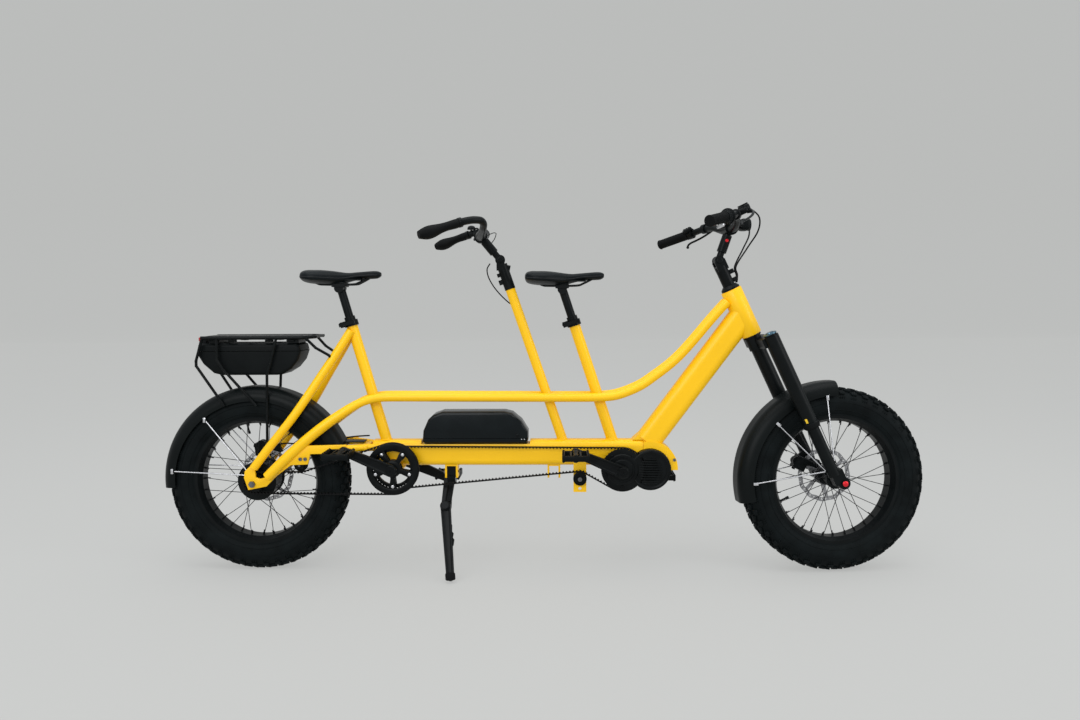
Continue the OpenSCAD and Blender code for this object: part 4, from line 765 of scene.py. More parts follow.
def both_belts():
    back = IDLER_R + 0.4 + BELT_BACK
    timing = toothed_belt("timing_belt", TIMING_Y, [
        (FRONT_BB, pitch_radius(TIMING_TEETH)), (REAR_BB, pitch_radius(TIMING_TEETH)), (FRONT_IDLER, -back)])
    drive = toothed_belt("drive_belt", DRIVE_Y, [
        (REAR_BB, pitch_radius(DRIVE_TEETH)), (REAR_IDLER, -back), ((0, TYRE_R), pitch_radius(COG_TEETH))])
    finish_piece(timing, "timing_belt", "frame", belt_rubber(), on_bike(), 30, ["belts"])
    finish_piece(drive, "drive_belt", "frame", belt_rubber(), on_bike(), 30)


def toothed_ring(teeth, inner, width=BELT_WIDTH):
    """Belt sprocket ring with its teeth; local Z along its axle."""
    r = pitch_radius(teeth)
    h = width / 2
    ring = lathe([(inner, -h), (r - 5.4, -h), (r - 4.6, -h + 0.8), (r - 4.6, h - 0.8), (r - 5.4, h), (inner, h)], 96)
    tooth = plate([(r - 6, -2.6), (r - 1.4, -1.5), (r - 1.4, 1.5), (r - 6, 2.6)], width - 1)
    place(tooth, Matrix.Translation((0, 0, -h + 0.5)))
    return join([ring, ring_of(tooth, teeth, pi / teeth)])


def five_arms(reach, root, tip, thick, low, bore):
    """Spider: five tapering arms from the crank's boss."""
    arm = plate([(0, -root), (reach * 0.45, -root * 0.52), (reach - 6, -tip), (reach, -tip * 0.4), (reach, tip * 0.4),
                 (reach - 6, tip), (reach * 0.45, root * 0.52), (0, root)], thick, 1.4)
    place(arm, Matrix.Translation((0, 0, low)))
    boss = lathe([(bore, low), (26, low), (28, low + 2), (28, low + thick - 1), (24, low + thick + 1.5),
        (bore, low + thick + 1.5)], 48)
    return [ring_of(arm, 5, radians(54)), boss]


def sunk_plate(outline, thick, rim, deep):
    """Forging: a plate whose upper face is sunk inside a raised rim."""
    obj = plate(outline, thick)
    activate(obj)
    bpy.ops.object.mode_set(mode="EDIT")
    bpy.ops.mesh.select_all(action="DESELECT")
    bpy.ops.object.mode_set(mode="OBJECT")
    for f in obj.data.polygons:
        f.select = f.normal.z > 0.9
    bpy.ops.object.mode_set(mode="EDIT")
    bpy.ops.mesh.select_mode(type="FACE")
    bpy.ops.mesh.inset(thickness=rim, depth=0)
    bpy.ops.mesh.inset(thickness=1.5, depth=-deep)
    bpy.ops.mesh.select_mode(type="VERT")
    bpy.ops.object.mode_set(mode="OBJECT")
    return bevel(obj, 1.8, 3, 50)


def crank_arm_piece(cx, cz, side):
    """Forged arm with a sunk face, boss, pedal eye and dust cap; side is -1 on the drive side."""
    arm = sunk_plate(spin_outline(CRANK_ARM, 19.5, 13.5), 13, 5.5, 2.6)
    boss = lathe([(0, 1), (17.5, 1), (17.5, 14.2), (15.8, 15.6), (12.4, 15.6), (12.4, 13.8), (4.5, 13.8), (4.2, 12),
        (0, 12)], 48, False)
    eye = lathe([(7.2, -0.6), (12.6, -0.6), (12.6, 13.6), (11.6, 14.4), (7.2, 14.4)], 40)
    place(eye, Matrix.Translation((CRANK_ARM, 0, 0)))
    way = (side * cos(CRANK_REST), 0, -side * sin(CRANK_REST))
    m = stand(at(cx, side * (ARM_Y - 6.5), cz), way, (0, side, 0))
    return place(join([arm, boss, eye]), m)


def crank(name, c):
    cx, cz = c
    front = name == "front_crank"
    parts = [crank_arm_piece(cx, cz, s) for s in (-1, 1)]
    steel = [place(pin(12, -ARM_Y + 4, ARM_Y - 4), stand(at(cx, 0, cz), (1, 0, 0), (0, -1, 0)))]
    t = [toothed_ring(TIMING_TEETH, pitch_radius(TIMING_TEETH) - 15)]
    t += five_arms(pitch_radius(TIMING_TEETH) - 11, 13, 10, 5, -2.5, 11.9)
    parts.append(place(join(t), near_face(cx, -TIMING_Y, cz)))
    if front:
        cover = lathe([(12.1, 7.5), (50, 7.5), (52, 9), (52, 11), (49, 14), (41, 14), (39, 12.4), (34, 12.4),
            (32, 14.4), (18, 15.5),
                       (12.1, 15.5)], 72)
        guard = lathe([(pitch_radius(TIMING_TEETH) - 10, 6), (pitch_radius(TIMING_TEETH) - 1.5, 6),
            (pitch_radius(TIMING_TEETH) - 1.5, 8.4),
                       (pitch_radius(TIMING_TEETH) - 9, 9.4), (50, 9)], 96)
        bolts = ring_of(pin(3.6, 9, 13, (56, 0), 0.6, 20), 5, radians(54))
        parts += [place(p, near_face(cx, -TIMING_Y, cz)) for p in (cover, guard, bolts)]
    else:
        r = pitch_radius(DRIVE_TEETH)
        d = [toothed_ring(DRIVE_TEETH, r - 17)]
        d += five_arms(r - 12, 15, 13, 7, -2, 11.9)
        d.append(lathe([(r - 19, 5), (r - 2, 5), (r + 0.4, 6), (r + 0.4, 7.6), (r - 2, 8.6), (r - 17, 8.6),
            (r - 19, 7.4)], 96))
        d += [ring_of(pin(5.6, -16, 2, (58, 0), 0.6, 20), 5, radians(54))]
        parts.append(place(join(d), near_face(cx, -DRIVE_Y, cz)))
        bolts = ring_of(pin(5.2, 4.6, 8, (58, 0), 0.8, 24), 5, radians(54))
        hexes = ring_of(pin(2.6, 8, 8.6, (58, 0), 0.2, 6), 5, radians(54))
        steel += [place(p, near_face(cx, -DRIVE_Y, cz)) for p in (bolts, hexes)]
    finish_piece(join(steel), name + "_bolts", name, bright_steel())
    finish_piece(join(parts), name + "_set", name, black_alloy(), None, 35, [name])


def idler(name, c, y):
    body = lathe([(4.1, -7), (9, -7), (10, -5.6), (20.6, -5.6), (22, -4.6), (22, 4.6), (20.6, 5.6), (18.5, 5.6),
        (17.5, 4), (10.5, 4),
                  (9.5, 6), (8.5, 7), (4.1, 7)], 64)
    finish_piece(body, name + "_roller", name, moulded_plastic(), near_face(c[0], -y, c[1]), 40,
        [name])


def cog():
    r = pitch_radius(COG_TEETH)
    parts = [toothed_ring(COG_TEETH, 6.1), lathe([(6.1, -10.4), (17.6, -10.4), (18, -9), (18, -5), (6.1, -5)], 40),
             lathe([(6.1, 5.2), (r - 6, 5.2), (r - 6, 6.2), (6.1, 6.2)], 40)]
    finish_piece(join(parts), "rear_cog_ring", "rear_cog", black_alloy(),
        near_face(0, -DRIVE_Y, TYRE_R), 35, ["rear_cog"])


def pedal(name, c, side):
    """Platform pedal: barrel, two toothed side rails, end bars and two inner bars."""
    ex = c[0] + side * CRANK_ARM * cos(CRANK_REST)
    ez = c[1] - side * CRANK_ARM * sin(CRANK_REST)
    m = stand(at(ex, side * 154.5, ez), (cos(radians(8)), 0, -sin(radians(8))))
    parts = []
    for q in (-1, 1):
        parts.append(block((9, 92, 22), (q * 38, 0, 0), 2.2))
        parts.append(block((78, 7, 18), (0, q * 43, 0), 2.2))
        parts.append(block((7, 84, 16), (q * 15, 0, 0), 2))
        for z in (-1, 1):
            for k in range(5):
                t = pin(1.8, 10, 13.4, (0, 0), 0.4, 8)
                parts.append(place(t, Matrix.Translation((q * 38, (k - 2) * 19,
                    0)) @ Matrix.Rotation(0 if z > 0 else pi, 4, "X")))
    barrel = lathe([(0, -46), (11, -46), (12.5, -42), (9.5, -20), (9.5, 18), (12.5, 42), (11, 46), (0, 46)], 32,
        False)
    parts.append(place(barrel, Matrix.Rotation(radians(90), 4, "X")))
    finish_piece(join(parts), name + "_cage", name, moulded_plastic(), m, 35, [name])
    spindle = [pin(6.9, -61, -40), pin(10.6, -52, -46.2)]
    inward = stand(at(ex, side * 154.5, ez), (1, 0, 0), (0, side, 0))
    finish_piece(join(spindle), name + "_spindle", name, bright_steel(), inward)


def motor_cover():
    """Round cover with a stepped rim, raised slats and screws."""
    rim = lathe([(52, 54), (63, 54), (64.5, 55), (64.5, 56.2), (62.6, 57.2), (58.6, 57.2), (57, 56), (52, 55.4)], 96)
    slats = []
    for i in range(-5, 6):
        w = 2 * sqrt(max(0, 49**2 - (i * 8) ** 2)) * 0.78
        slats.append(block((w, 4.8, 3), (0, i * 8 - 4, 55), 0.9))
    screws = ring_of(pin(2.8, 56.6, 58.4, (60.6, 0), 0.5, 14), 6, radians(30))
    body = join([rim] + slats + [screws])
    m = stand(at(MOTOR[0], 0, MOTOR[1]), (1, 0, 0), (0, -1, 0))
    finish_piece(body, "motor_cover", "frame", black_alloy(), m, 35)


class TANDEM_OT_drive(bpy.types.Operator):
    """Make the belts, sprockets, cranks, pedals, idlers and the motor's cover"""

    bl_idname = "tandem.drive"
    bl_label = "Belt drive"

    def execute(self, context):
        both_belts()
        crank("front_crank", FRONT_BB)
        crank("rear_crank", REAR_BB)
        cog()
        idler("front_idler", FRONT_IDLER, TIMING_Y)
        idler("rear_idler", REAR_IDLER, DRIVE_Y)
        for where, c in (("front", FRONT_BB), ("rear", REAR_BB)):
            for hand, side in (("left", 1), ("right", -1)):
                pedal(f"{where}_{hand}_pedal", c, side)
        motor_cover()
        return {"FINISHED"}


# ---------------------------------------------------------------- battery, case and lamp


def battery_case():
    h, l, w = 104, 346, 84
    side = [(5, 0), (0, 8), (3, h * 0.4), (20, h * 0.76), (36, h * 0.9), (66, h), (l - 78, h), (l - 52, h * 0.94),
        (l - 22, h * 0.7),
            (l, h * 0.36), (l, h * 0.1), (l - 7, 0)]
    case = plate(side, w)
    bevel(case, 13, 3, 60)
    place(case, Matrix.Translation((0, w / 2, 0)) @ Matrix.Rotation(radians(90), 4, "X"))
    seam = cut(case, block((l + 30, w + 20, 1.2), (l / 2, 0, 17), 0.2))
    m = stand(at(549, 0, 424))
    finish_piece(seam, "battery_case", "battery", gloss_case(), m, 28, ["battery"])
    lock = lathe([(0, 0), (6, 0), (6, 1.8), (5, 2.4), (3.4, 2.4), (3, 1.8), (0, 1.8)], 32, False)
    keyway = block((1.2, 3.6, 0.6), (0, 0, 2), 0.2)
    m = near_face(549 + l - 34, -w / 2 + 0.4, 424 + 26)
    finish_piece(join([lock, keyway]), "battery_lock", "battery", black_alloy(), m)
    dots = join([pin(1.6, 0, 1.2, (q, 0), 0.3, 16) for q in (0, 9)])
    finish_piece(dots, "battery_lights", "battery", pale_mark(),
        near_face(549 + l - 21, -w / 2 + 0.6, 424 + 14))


def luggage_case():
    """Closed case under the rack: bathtub outline, wide rounded edges and a lid line."""
    top, low = 756, 652
    side = [(-176, top - 6), (-170, top), (144, top), (156, top - 7), (161, top - 28), (150, top - 58),
        (128, top - 84), (98, low + 2),
            (80, low), (-100, low), (-126, low + 6), (-160, low + 36), (-178, low + 66)]
    case = plate(side, 110)
    bevel(case, 15, 4, 60)
    place(case, Matrix.Translation((0, 55, 0)) @ Matrix.Rotation(radians(90), 4, "X"))
    cut(case, block((420, 140, 1.6), (0, 0, top - 26), 0.2))
    finish_piece(case, "case_shell", "frame", moulded_plastic(), on_bike(), 32, ["rack_box"])


def tail_lamp():
    lens = block((12, 52, 13), (-178, 0, 768), 3, 3)
    finish_piece(lens, "tail_lens", "frame", lamp_red(), on_bike())
    deck = []
    for s in (-1, 1):
        for x in (-120, -60, 60, 130):
            deck.append(block((26, 10, 7), (x, s * 52, 764), 1.5))
            deck.append(pin(3, 760, 771, (x, s * 52), 0.5, 16))
    strap = block((318, 58, 2.2), (6, 0, 778.2), 0.8)
    finish_piece(join(deck + [strap]), "rack_clips", "frame", black_alloy(), on_bike())


class TANDEM_OT_cases(bpy.types.Operator):
    """Make the battery, the case under the rack and the tail lamp"""

    bl_idname = "tandem.cases"
    bl_label = "Battery and case"

    def execute(self, context):
        battery_case()
        luggage_case()
        tail_lamp()
        return {"FINISHED"}


# ---------------------------------------------------------------- saddles

SADDLE_SECTIONS = [
    # along, half width, top, skirt's lower edge
    (-128, 40, -12, -28), (-122, 62, -4, -38), (-108, 76, 0, -43), (-88, 83, 0, -46), (-62, 79, 0, -48),
        (-38, 66, -2, -49),
    (-16, 50, -5, -49), (4, 38, -8, -46), (26, 30, -10, -40), (52, 25, -8, -34), (80, 22.5, -6, -32),
    (104, 20.5, -5, -31),
    (118, 17, -6, -29), (128, 10, -11, -22),
]


def saddle_shell(section_list):
    """Closed, crowned shell lofted through its sections, with a shallow groove down the middle."""
    around = 28
    verts, faces = [], []
    dense = smooth([Vector((x, w, t)) for x, w, t, b in section_list], 3)
    lows = smooth([Vector((x, b, 0)) for x, w, t, b in section_list], 3)
    for p, q in zip(dense, lows):
        x, w, top, low = p.x, p.y, p.z, q.y
        for k in range(around):
            a = 2 * pi * k / around
            u, v = cos(a), sin(a)
            y = w * (abs(u) ** 0.72) * (1 if u > 0 else -1)
            if v >= 0:
                crown = v**0.62
                z = low + (top - low) * (0.34 + 0.66 * crown)
                z -= 3.2 * max(0, 1 - abs(y) / 9) * crown * max(0, min(1, (95 - abs(x)) / 40))
            else:
                z = low + (top - low) * 0.34 * (1 - abs(v) ** 1.5)
                y *= 1 - 0.16 * abs(v)
            verts.append((x, y, z))
    n = len(dense)
    for i in range(n - 1):
        for k in range(around):
            j = (k + 1) % around
            faces.append((i * around + k, i * around + j, (i + 1) * around + j, (i + 1) * around + k))
    faces.append(tuple(range(around)))
    faces.append(tuple((n - 1) * around + k for k in reversed(range(around))))
    mesh = bpy.data.meshes.new("saddle")
    mesh.from_pydata(verts, [], faces)
    obj = bpy.data.objects.new("saddle", mesh)
    bpy.context.scene.collection.objects.link(obj)
    outward(obj)
    sub = obj.modifiers.new("round", "SUBSURF")
    sub.levels = sub.render_levels = 1
    activate(obj)
    bpy.ops.object.modifier_apply(modifier=sub.name)
    return obj


def saddle(name, body, x, top):
    m = stand(at(x, 0, top))
    shell = saddle_shell(SADDLE_SECTIONS)
    finish_piece(shell, name + "_cover", body, saddle_vinyl(), m, 80, [name])
    seam = []
    for s in (-1, 1):
        line = [(a, s * (w * 0.985), t + (b - t) * 0.52) for a, w, t, b in SADDLE_SECTIONS[1:-1]]
        seam.append(tube(smooth(line, 4), 1.1, None, 3))
    finish_piece(join(seam), name + "_seam", body, thread(), m)
    rails = []
    for s in (-1, 1):
        pts = [(-90, s * 27, -36), (-72, s * 26, -46), (-50, s * 22, -48.4), (36, s * 21.5, -48.4),
            (60, s * 17, -42), (96, s * 8, -24)]
        rails.append(tube(smooth(pts, 6), 3.5, None, 4))
    finish_piece(join(rails), name + "_rails", body, black_paint(), m)
    base = [block((176, 62, 5), (-20, 0, -33), 2), block((30, 84, 10), (-90, 0, -36), 3)]
    finish_piece(join(base), name + "_base", body, moulded_plastic(), m)
    clamp = [block((40, 54, 7), (-8, 0, -43.5), 2.4), block((44, 50, 8), (-8, 0, -53), 3)]
    for s in (-1, 1):
        clamp.append(pin(3, -58, -38, (-8 + s * 13, 0), 0.5, 16))
    finish_piece(join(clamp), name + "_clamp", body, black_alloy(), m)


class TANDEM_OT_saddles(bpy.types.Operator):
    """Shape both saddles with their seams, rails and clamps"""

    bl_idname = "tandem.saddles"
    bl_label = "Saddles"

    def execute(self, context):
        saddle("rear_saddle", "rear_seat", 290, 992)
        saddle("front_saddle", "front_seat", 1016.1, 983)
        return {"FINISHED"}


# ---------------------------------------------------------------- stoker's bar

STOKER_TURN = radians(4)
STOKER_CLAMP = Vector((-62, 0, 75))
STOKER_SIDE = [(0, 40, 0), (6, 110, 4), (13, 180, 14), (14, 216, 26), (0, 238, 33), (-46, 262, 26), (-162, 302, -12)]


def on_stoker():
    pos = Vector(JOINT["stoker_stem_tilt"]["pos_m"])
    return stand(pos, (cos(STOKER_TURN), sin(STOKER_TURN), 0))


def wing_grip(a, b):
    """Ergonomic grip: round at its clamp, swelling into a flat palm rest near its end."""
    way = (b - a).normalized()
    length = (b - a).length + 8
    radii = [15, 16, 15.6, 15, 15.2, 16.4, 18.6, 21, 22.4, 21.6, 18, 13]
    pts = [(length * k / (len(radii) - 1), 0, -0.25 * max(0, r - 15)) for k, r in enumerate(radii)]
    path = smooth(pts, 3)
    swell = smooth([Vector((r, 0, 0)) for r in radii], 3)
    body = tube(path, 1, [s.x for s in swell], 8)
    clamp = lathe([(11.4, -7), (15.8, -7), (17, -6), (17, 3), (15.8, 4.2), (11.4, 4.2)], 40)
    place(clamp, Matrix.Rotation(radians(90), 4, "Y"))
    z = Vector((0, 0, 1))
    across = way.cross(z).normalized()
    up = across.cross(way)
    m = Matrix((way, up.cross(way), up)).transposed().to_4x4()
    m.translation = a
    m = m @ Matrix.Diagonal((1, 1.12, 0.86, 1))
    return place(body, m), place(clamp, m)


def stoker_bar():
    pieces, grips, clamps = [pin(15.9, -42, 42)], [], []
    place(pieces[0], Matrix.Translation(STOKER_CLAMP) @ Matrix.Rotation(radians(90), 4, "X"))
    for s in (-1, 1):
        pts = [STOKER_CLAMP + Vector(p) for p in flip(STOKER_SIDE, s)]
        path = smooth(pts, 8)
        start = STOKER_CLAMP + Vector((0, s * 30, 0))
        radii = [1.42, 1.42] + [1.42 - 0.42 * min(1, k / 10) for k in range(len(path) - 1)]
        pieces.append(tube([start] + path, 11.1, radii[: len(path) + 1], 8))
        g, c = wing_grip(pts[5] + Vector((-8, s * 3, -2.6)), pts[6])
        grips.append(g)
        clamps.append(c)
    finish_piece(join(pieces), "stoker_handlebar", "stoker", black_paint(), on_stoker(), 50,
        ["stoker_bar"])
    finish_piece(join(grips), "stoker_palm_grips", "stoker", grip_rubber(), on_stoker(), 60,
        ["stoker_grips"])
    finish_piece(join(clamps), "stoker_grip_clamps", "stoker", black_alloy(), on_stoker(), 50)


def stoker_bell():
    c = STOKER_CLAMP + Vector((-40, 258, 42))
    dome = lathe([(0, 15), (6, 14.2), (11, 11.6), (14, 7.4), (15, 2), (13.8, 0), (0, 0)], 40, False)
    place(dome, Matrix.Translation(c))
    band = lathe([(11.3, -5), (14.6, -5), (14.6, 5), (11.3, 5)], 40)
    place(band, Matrix.Translation(c + Vector((-2, 3, -15))) @ Matrix.Rotation(radians(-75), 4, "Y"))
    thumb = tube(smooth([c + Vector(p) for p in ((8, -6, 1), (18, -12, 4), (24, -20, 2))], 4), 2.6, None, 3)
    finish_piece(join([dome, band, thumb]), "stoker_bell", "stoker", black_alloy(), on_stoker(), 50)


def stoker_stem():
    """Bolts and caps on the stoker's stem."""
    bolts = []
    for s in (-1, 1):
        cap = lathe([(0, 0), (11, 0), (11, 2), (9.6, 3), (5.4, 3), (4.8, 1.6), (0, 1.6)], 32, False)
        place(cap, Matrix.Translation((0, s * 18, 0)) @ Matrix.Rotation(radians(-90 * s), 4, "X"))
        bolts.append(cap)
        for z in (-9, 9):
            b = pin(3, 0, 5, edge=0.6, sides=16)
            bolts.append(place(b, Matrix.Translation(STOKER_CLAMP + Vector((-18, s * 15,
                z))) @ Matrix.Rotation(radians(-90), 4, "Y")))
    finish_piece(join(bolts), "stoker_stem_caps", "stoker", black_alloy(), on_stoker(), 40)


class TANDEM_OT_stoker(bpy.types.Operator):
    """Bend the stoker's bar and fit its grips, bell and bolts"""

    bl_idname = "tandem.stoker"
    bl_label = "Stoker's bar"

    def execute(self, context):
        stoker_bar()
        stoker_bell()
        stoker_stem()
        return {"FINISHED"}


# ---------------------------------------------------------------- front controls

BAR_SIDE = [Vector(p) for p in ((0, 40, 0), (-2, 90, 9), (-8, 130, 24), (-22, 178, 34), (-52, 224, 38),
    (-146, 326, 50))]


def bar_point(side, t):
    """Place on the bar's straight end: 0 at the bend, 1 at the tip."""
    a, b = (BAR_CLAMP + flip([BAR_SIDE[i]], side)[0] for i in (4, 5))
    return a.lerp(b, t)


def along_grip(side, t):
    """Matrix at that place with local Z outward along the bar."""
    way = bar_point(side, 1) - bar_point(side, 0)
    return stand(steer(bar_point(side, t)), steer_way((0.3, 0, 1)), steer_way(way))


def front_bar():
    parts = [place(pin(15.9, -42, 42), Matrix.Translation(BAR_CLAMP) @ Matrix.Rotation(radians(90), 4, "X"))]
    for s in (-1, 1):
        pts = [BAR_CLAMP + p for p in flip(BAR_SIDE, s)]
        path = smooth(pts, 8)
        radii = [1.42, 1.42] + [1.42 - 0.42 * min(1, k / 8) for k in range(len(path) - 1)]
        start = BAR_CLAMP + Vector((0, s * 30, 0))
        parts.append(tube([start] + path, 11.1, radii[: len(path) + 1], 8))
    finish_piece(join(parts), "front_handlebar", "cockpit", black_paint(), on_fork(), 50,
        ["handlebar"])


def ribbed_grips():
    grips = []
    for s in (-1, 1):
        t0 = 0.34 if s < 0 else 0.14
        length = (bar_point(s, 1.035) - bar_point(s, t0)).length
        ribs = int(length / 4)
        profile = [(11.5, 0), (16.6, 0), (17, 0.8), (17, 5), (16, 6)]
        for k in range(2, ribs - 1):
            z = k * 4
            profile += [(15.2, z), (16, z + 0.9), (16, z + 2.3), (15.2, z + 3.2)]
        profile += [(16.8, length - 4), (17.2, length - 2), (16, length), (0.1, length), (0.1, length - 3),
            (11.5, length - 3)]
        grips.append(place(lathe(profile, 40), along_grip(s, t0)))
    finish_piece(join(grips), "ribbed_grips", "cockpit", grip_rubber(), None, 50, ["grips"])


def shifter():
    """Twist shifter: barrel ribbed for the thumb."""
    length = (bar_point(-1, 0.32) - bar_point(-1, 0.06)).length
    barrel = lathe([(12.2, 8), (21, 8), (23.6, 10), (24, 14), (22, 16), (19.4, 17), (19, length - 3), (17.6, length),
        (12.2, length)], 56)
    rib = block((2.4, 2.6, length - 22), (19.6, 0, 17 + (length - 22) / 2), 0.8)
    turning = join([barrel, ring_of(rib, 18)])
    finish_piece(turning, "shifter_barrel", "shifter", moulded_plastic(), along_grip(-1, 0.06), 40,
        ["twist_shifter"])


def control_set():
    """Brake perches, reservoirs, clamp bands and the thumb control."""
    parts, caps = [], []
    for s in (-1, 1):
        c = BAR_CLAMP + flip([BAR_SIDE[3]], s)[0]
        way = flip([BAR_SIDE[4] - BAR_SIDE[2]], s)[0]
        band = lathe([(11.4, -8), (15.4, -8), (16.4, -7), (16.4, 7), (15.4, 8), (11.4, 8)], 40)
        parts.append(place(band, stand(steer(c), steer_way((1, 0, 0.4)), steer_way(way))))
        turn = Matrix.Rotation(s * radians(30), 4, "Z")
        parts.append(place(block((34, 21, 19), (0, 0, 0), 5, 3, turn),
            stand(steer(c + Vector((22, 0, 0))), STEER_X, STEER_Z)))
        drum = block((42, 23, 22), (0, 0, 0), 7, 4, Matrix.Rotation(s * radians(76), 4, "Z"))
        parts.append(place(drum, stand(steer(c + Vector((35, s * -13, 6))), STEER_X, STEER_Z)))
        cap = block((34, 18, 3), (0, 0, 0), 1.2, 2, Matrix.Rotation(s * radians(76), 4, "Z"))
        caps.append(place(cap, stand(steer(c + Vector((35, s * -13, 18))), STEER_X, STEER_Z)))
        nut = lathe([(2.6, 0), (5.4, 0), (5.4, 7), (4.4, 9), (2.6, 9)], 6)
        parts.append(place(nut, stand(steer(c + Vector((44, s * -32, 6))), STEER_Z, steer_way((0.35, -s, 0)))))
    hub = lathe([(11.4, -9), (17, -9), (18, -8), (18, 8), (17, 9), (11.4, 9)], 40)
    parts.append(place(hub, along_grip(1, 0.06)))
    box = block((30, 28, 14), (0, 0, 0), 4, 3)
    parts.append(place(box, stand(steer(bar_point(1, 0.06) + Vector((-8, -4, 16))), STEER_X, STEER_Z)))
    buttons = [block((7, 7, 2.4), (k * 9 - 9, 0, 0), 1, 2) for k in range(3)]
    caps.append(place(join(buttons), stand(steer(bar_point(1, 0.06) + Vector((-8, -4, 24))), STEER_X, STEER_Z)))
    finish_piece(join(parts), "control_bodies", "cockpit", black_alloy(), None, 40, ["bar_controls"])
    finish_piece(join(caps), "control_caps", "cockpit", moulded_plastic(), None, 40)


def brake_blade(name, body, side):
    base = [Vector(p) for p in ((38, 6, -8), (42, 22, -12), (34, 46, -17), (22, 66, -21), (4, 86, -24),
        (-14, 104, -25), (-30, 117, -25),
                                (-38, 126, -27), (-42, 134, -31), (-43, 140, -36))]
    path = smooth([BAR_CLAMP + p for p in flip([BAR_SIDE[3] + q for q in base], side)], 4)
    n = len(path)
    radii = [1.35 - 0.5 * min(1, 3 * k / n) + (0.35 if k > n - 4 else 0) for k in range(n)]
    blade = tube(path, 4.2, radii, 5)
    eye = lathe([(0, -4), (6.4, -4), (6.4, 4), (5.8, 4.4), (0, 4.4)], 32, False)
    place(eye, Matrix.Translation(BAR_CLAMP + flip([BAR_SIDE[3] + Vector((38, 6, -8))], side)[0]))
    finish_piece(join([blade, eye]), name + "_blade", body, black_alloy(), on_fork(), 60, [name])


def display_and_lamp():
    tilt = Matrix.Rotation(radians(-32), 4, "Y")
    base = Matrix.Translation(BAR_CLAMP + Vector((-6, 0, 30))) @ tilt
    shell = block((46, 74, 9), (0, 0, 0), 3, 3)
    foot = block((16, 30, 12), (6, 0, -8), 2)
    finish_piece(join([shell, foot]), "display_shell", "cockpit", bright_steel(), on_fork() @ base, 40,
        ["display"])
    glass = block((38, 62, 2), (0, 0, 4.6), 0.8, 2)
    finish_piece(glass, "display_glass", "cockpit", screen_glass(), on_fork() @ base)
    aim = Matrix.Translation(BAR_CLAMP + Vector((48, 0, -8))) @ Matrix.Rotation(radians(25), 4, "Y")
    housing = block((34, 48, 38), (0, 0, 0), 11, 4)
    fins = [block((3, 44, 34), (-10 + 5 * k, 0, 0), 1) for k in range(3)]
    hood = lathe([(16, 12), (18.6, 12), (19.4, 17), (18.4, 19), (16, 18)], 48)
    place(hood, Matrix.Rotation(radians(90), 4, "Y"))
    bracket = block((14, 14, 10), (-20, 0, 6), 2)
    finish_piece(join([housing, hood, bracket] + fins), "headlight_body", "cockpit",
        moulded_plastic(), on_fork() @ aim,
                 40, ["headlight"])
    lens = lathe([(0, 17.6), (10, 17), (15.6, 14.6), (15.6, 12), (0, 12)], 48, False)
    place(lens, Matrix.Rotation(radians(90), 4, "Y"))
    finish_piece(lens, "headlight_lens", "cockpit", lamp_clear(), on_fork() @ aim, 60)


def stem_details():
    """Bolts on the front stem: face plate, pivot cap and red angle bolt."""
    dark = []
    for y in (-15, 15):
        for z in (-10, 10):
            b = pin(3.1, 0, 5.4, edge=0.7, sides=16)
            dark.append(place(b, Matrix.Translation(BAR_CLAMP + Vector((18, y, z))) @ Matrix.Rotation(radians(90), 4,
                "Y")))
    for s in (-1, 1):
        cap = lathe([(0, 0), (10, 0), (10, 2.4), (8.6, 3.4), (4.6, 3.4), (4, 1.8), (0, 1.8)], 32, False)
        dark.append(place(cap, Matrix.Translation(STEM_PIVOT + Vector((0, s * 17,
            0))) @ Matrix.Rotation(radians(-90 * s), 4, "X")))
    finish_piece(join(dark), "front_stem_bolts", "cockpit", black_alloy(), on_fork(), 40)
    mid = STEM_PIVOT.lerp(BAR_CLAMP, 0.62)
    bolt = lathe([(0, 0), (5, 0), (5, 4), (4, 5), (2.4, 5), (2, 3.4), (0, 3.4)], 24, False)
    place(bolt, Matrix.Translation(mid + Vector((0, -15, 0))) @ Matrix.Rotation(radians(90), 4, "X"))
    finish_piece(bolt, "stem_angle_bolt", "cockpit", red_anodised(), on_fork(), 40)


HOSE = [Vector(p) for p in (
    (57 + 46, 178 - 38, 374 + 6), (57 + 70, 178 - 62, 374 - 4), (79 + 80, 66, 340 - 6), (79 + 66, 44, 340 - 44),
    (79 + 20, 24, 340 - 78),
    (46, 8, HEAD_LENGTH + 62), (38, 6, HEAD_LENGTH + 34), (27, 4, HEAD_LENGTH + 13))]


def front_hoses():
    pair = [tube(smooth(flip(HOSE, s), 8), 2.5, None, 4) for s in (-1, 1)]
    finish_piece(join(pair), "front_hoses", "steering", cable_skin(), on_fork(), 60, ["bar_cables"])


class TANDEM_OT_cockpit(bpy.types.Operator):
    """Fit the front bar with its grips, shifter, levers, lamp, display and hoses"""

    bl_idname = "tandem.cockpit"
    bl_label = "Front controls"

    def execute(self, context):
        front_bar()
        ribbed_grips()
        shifter()
        control_set()
        brake_blade("left_brake_lever", "left_lever", 1)
        brake_blade("right_brake_lever", "right_lever", -1)
        display_and_lamp()
        stem_details()
        front_hoses()
        return {"FINISHED"}


# ---------------------------------------------------------------- fork, brakes and small parts


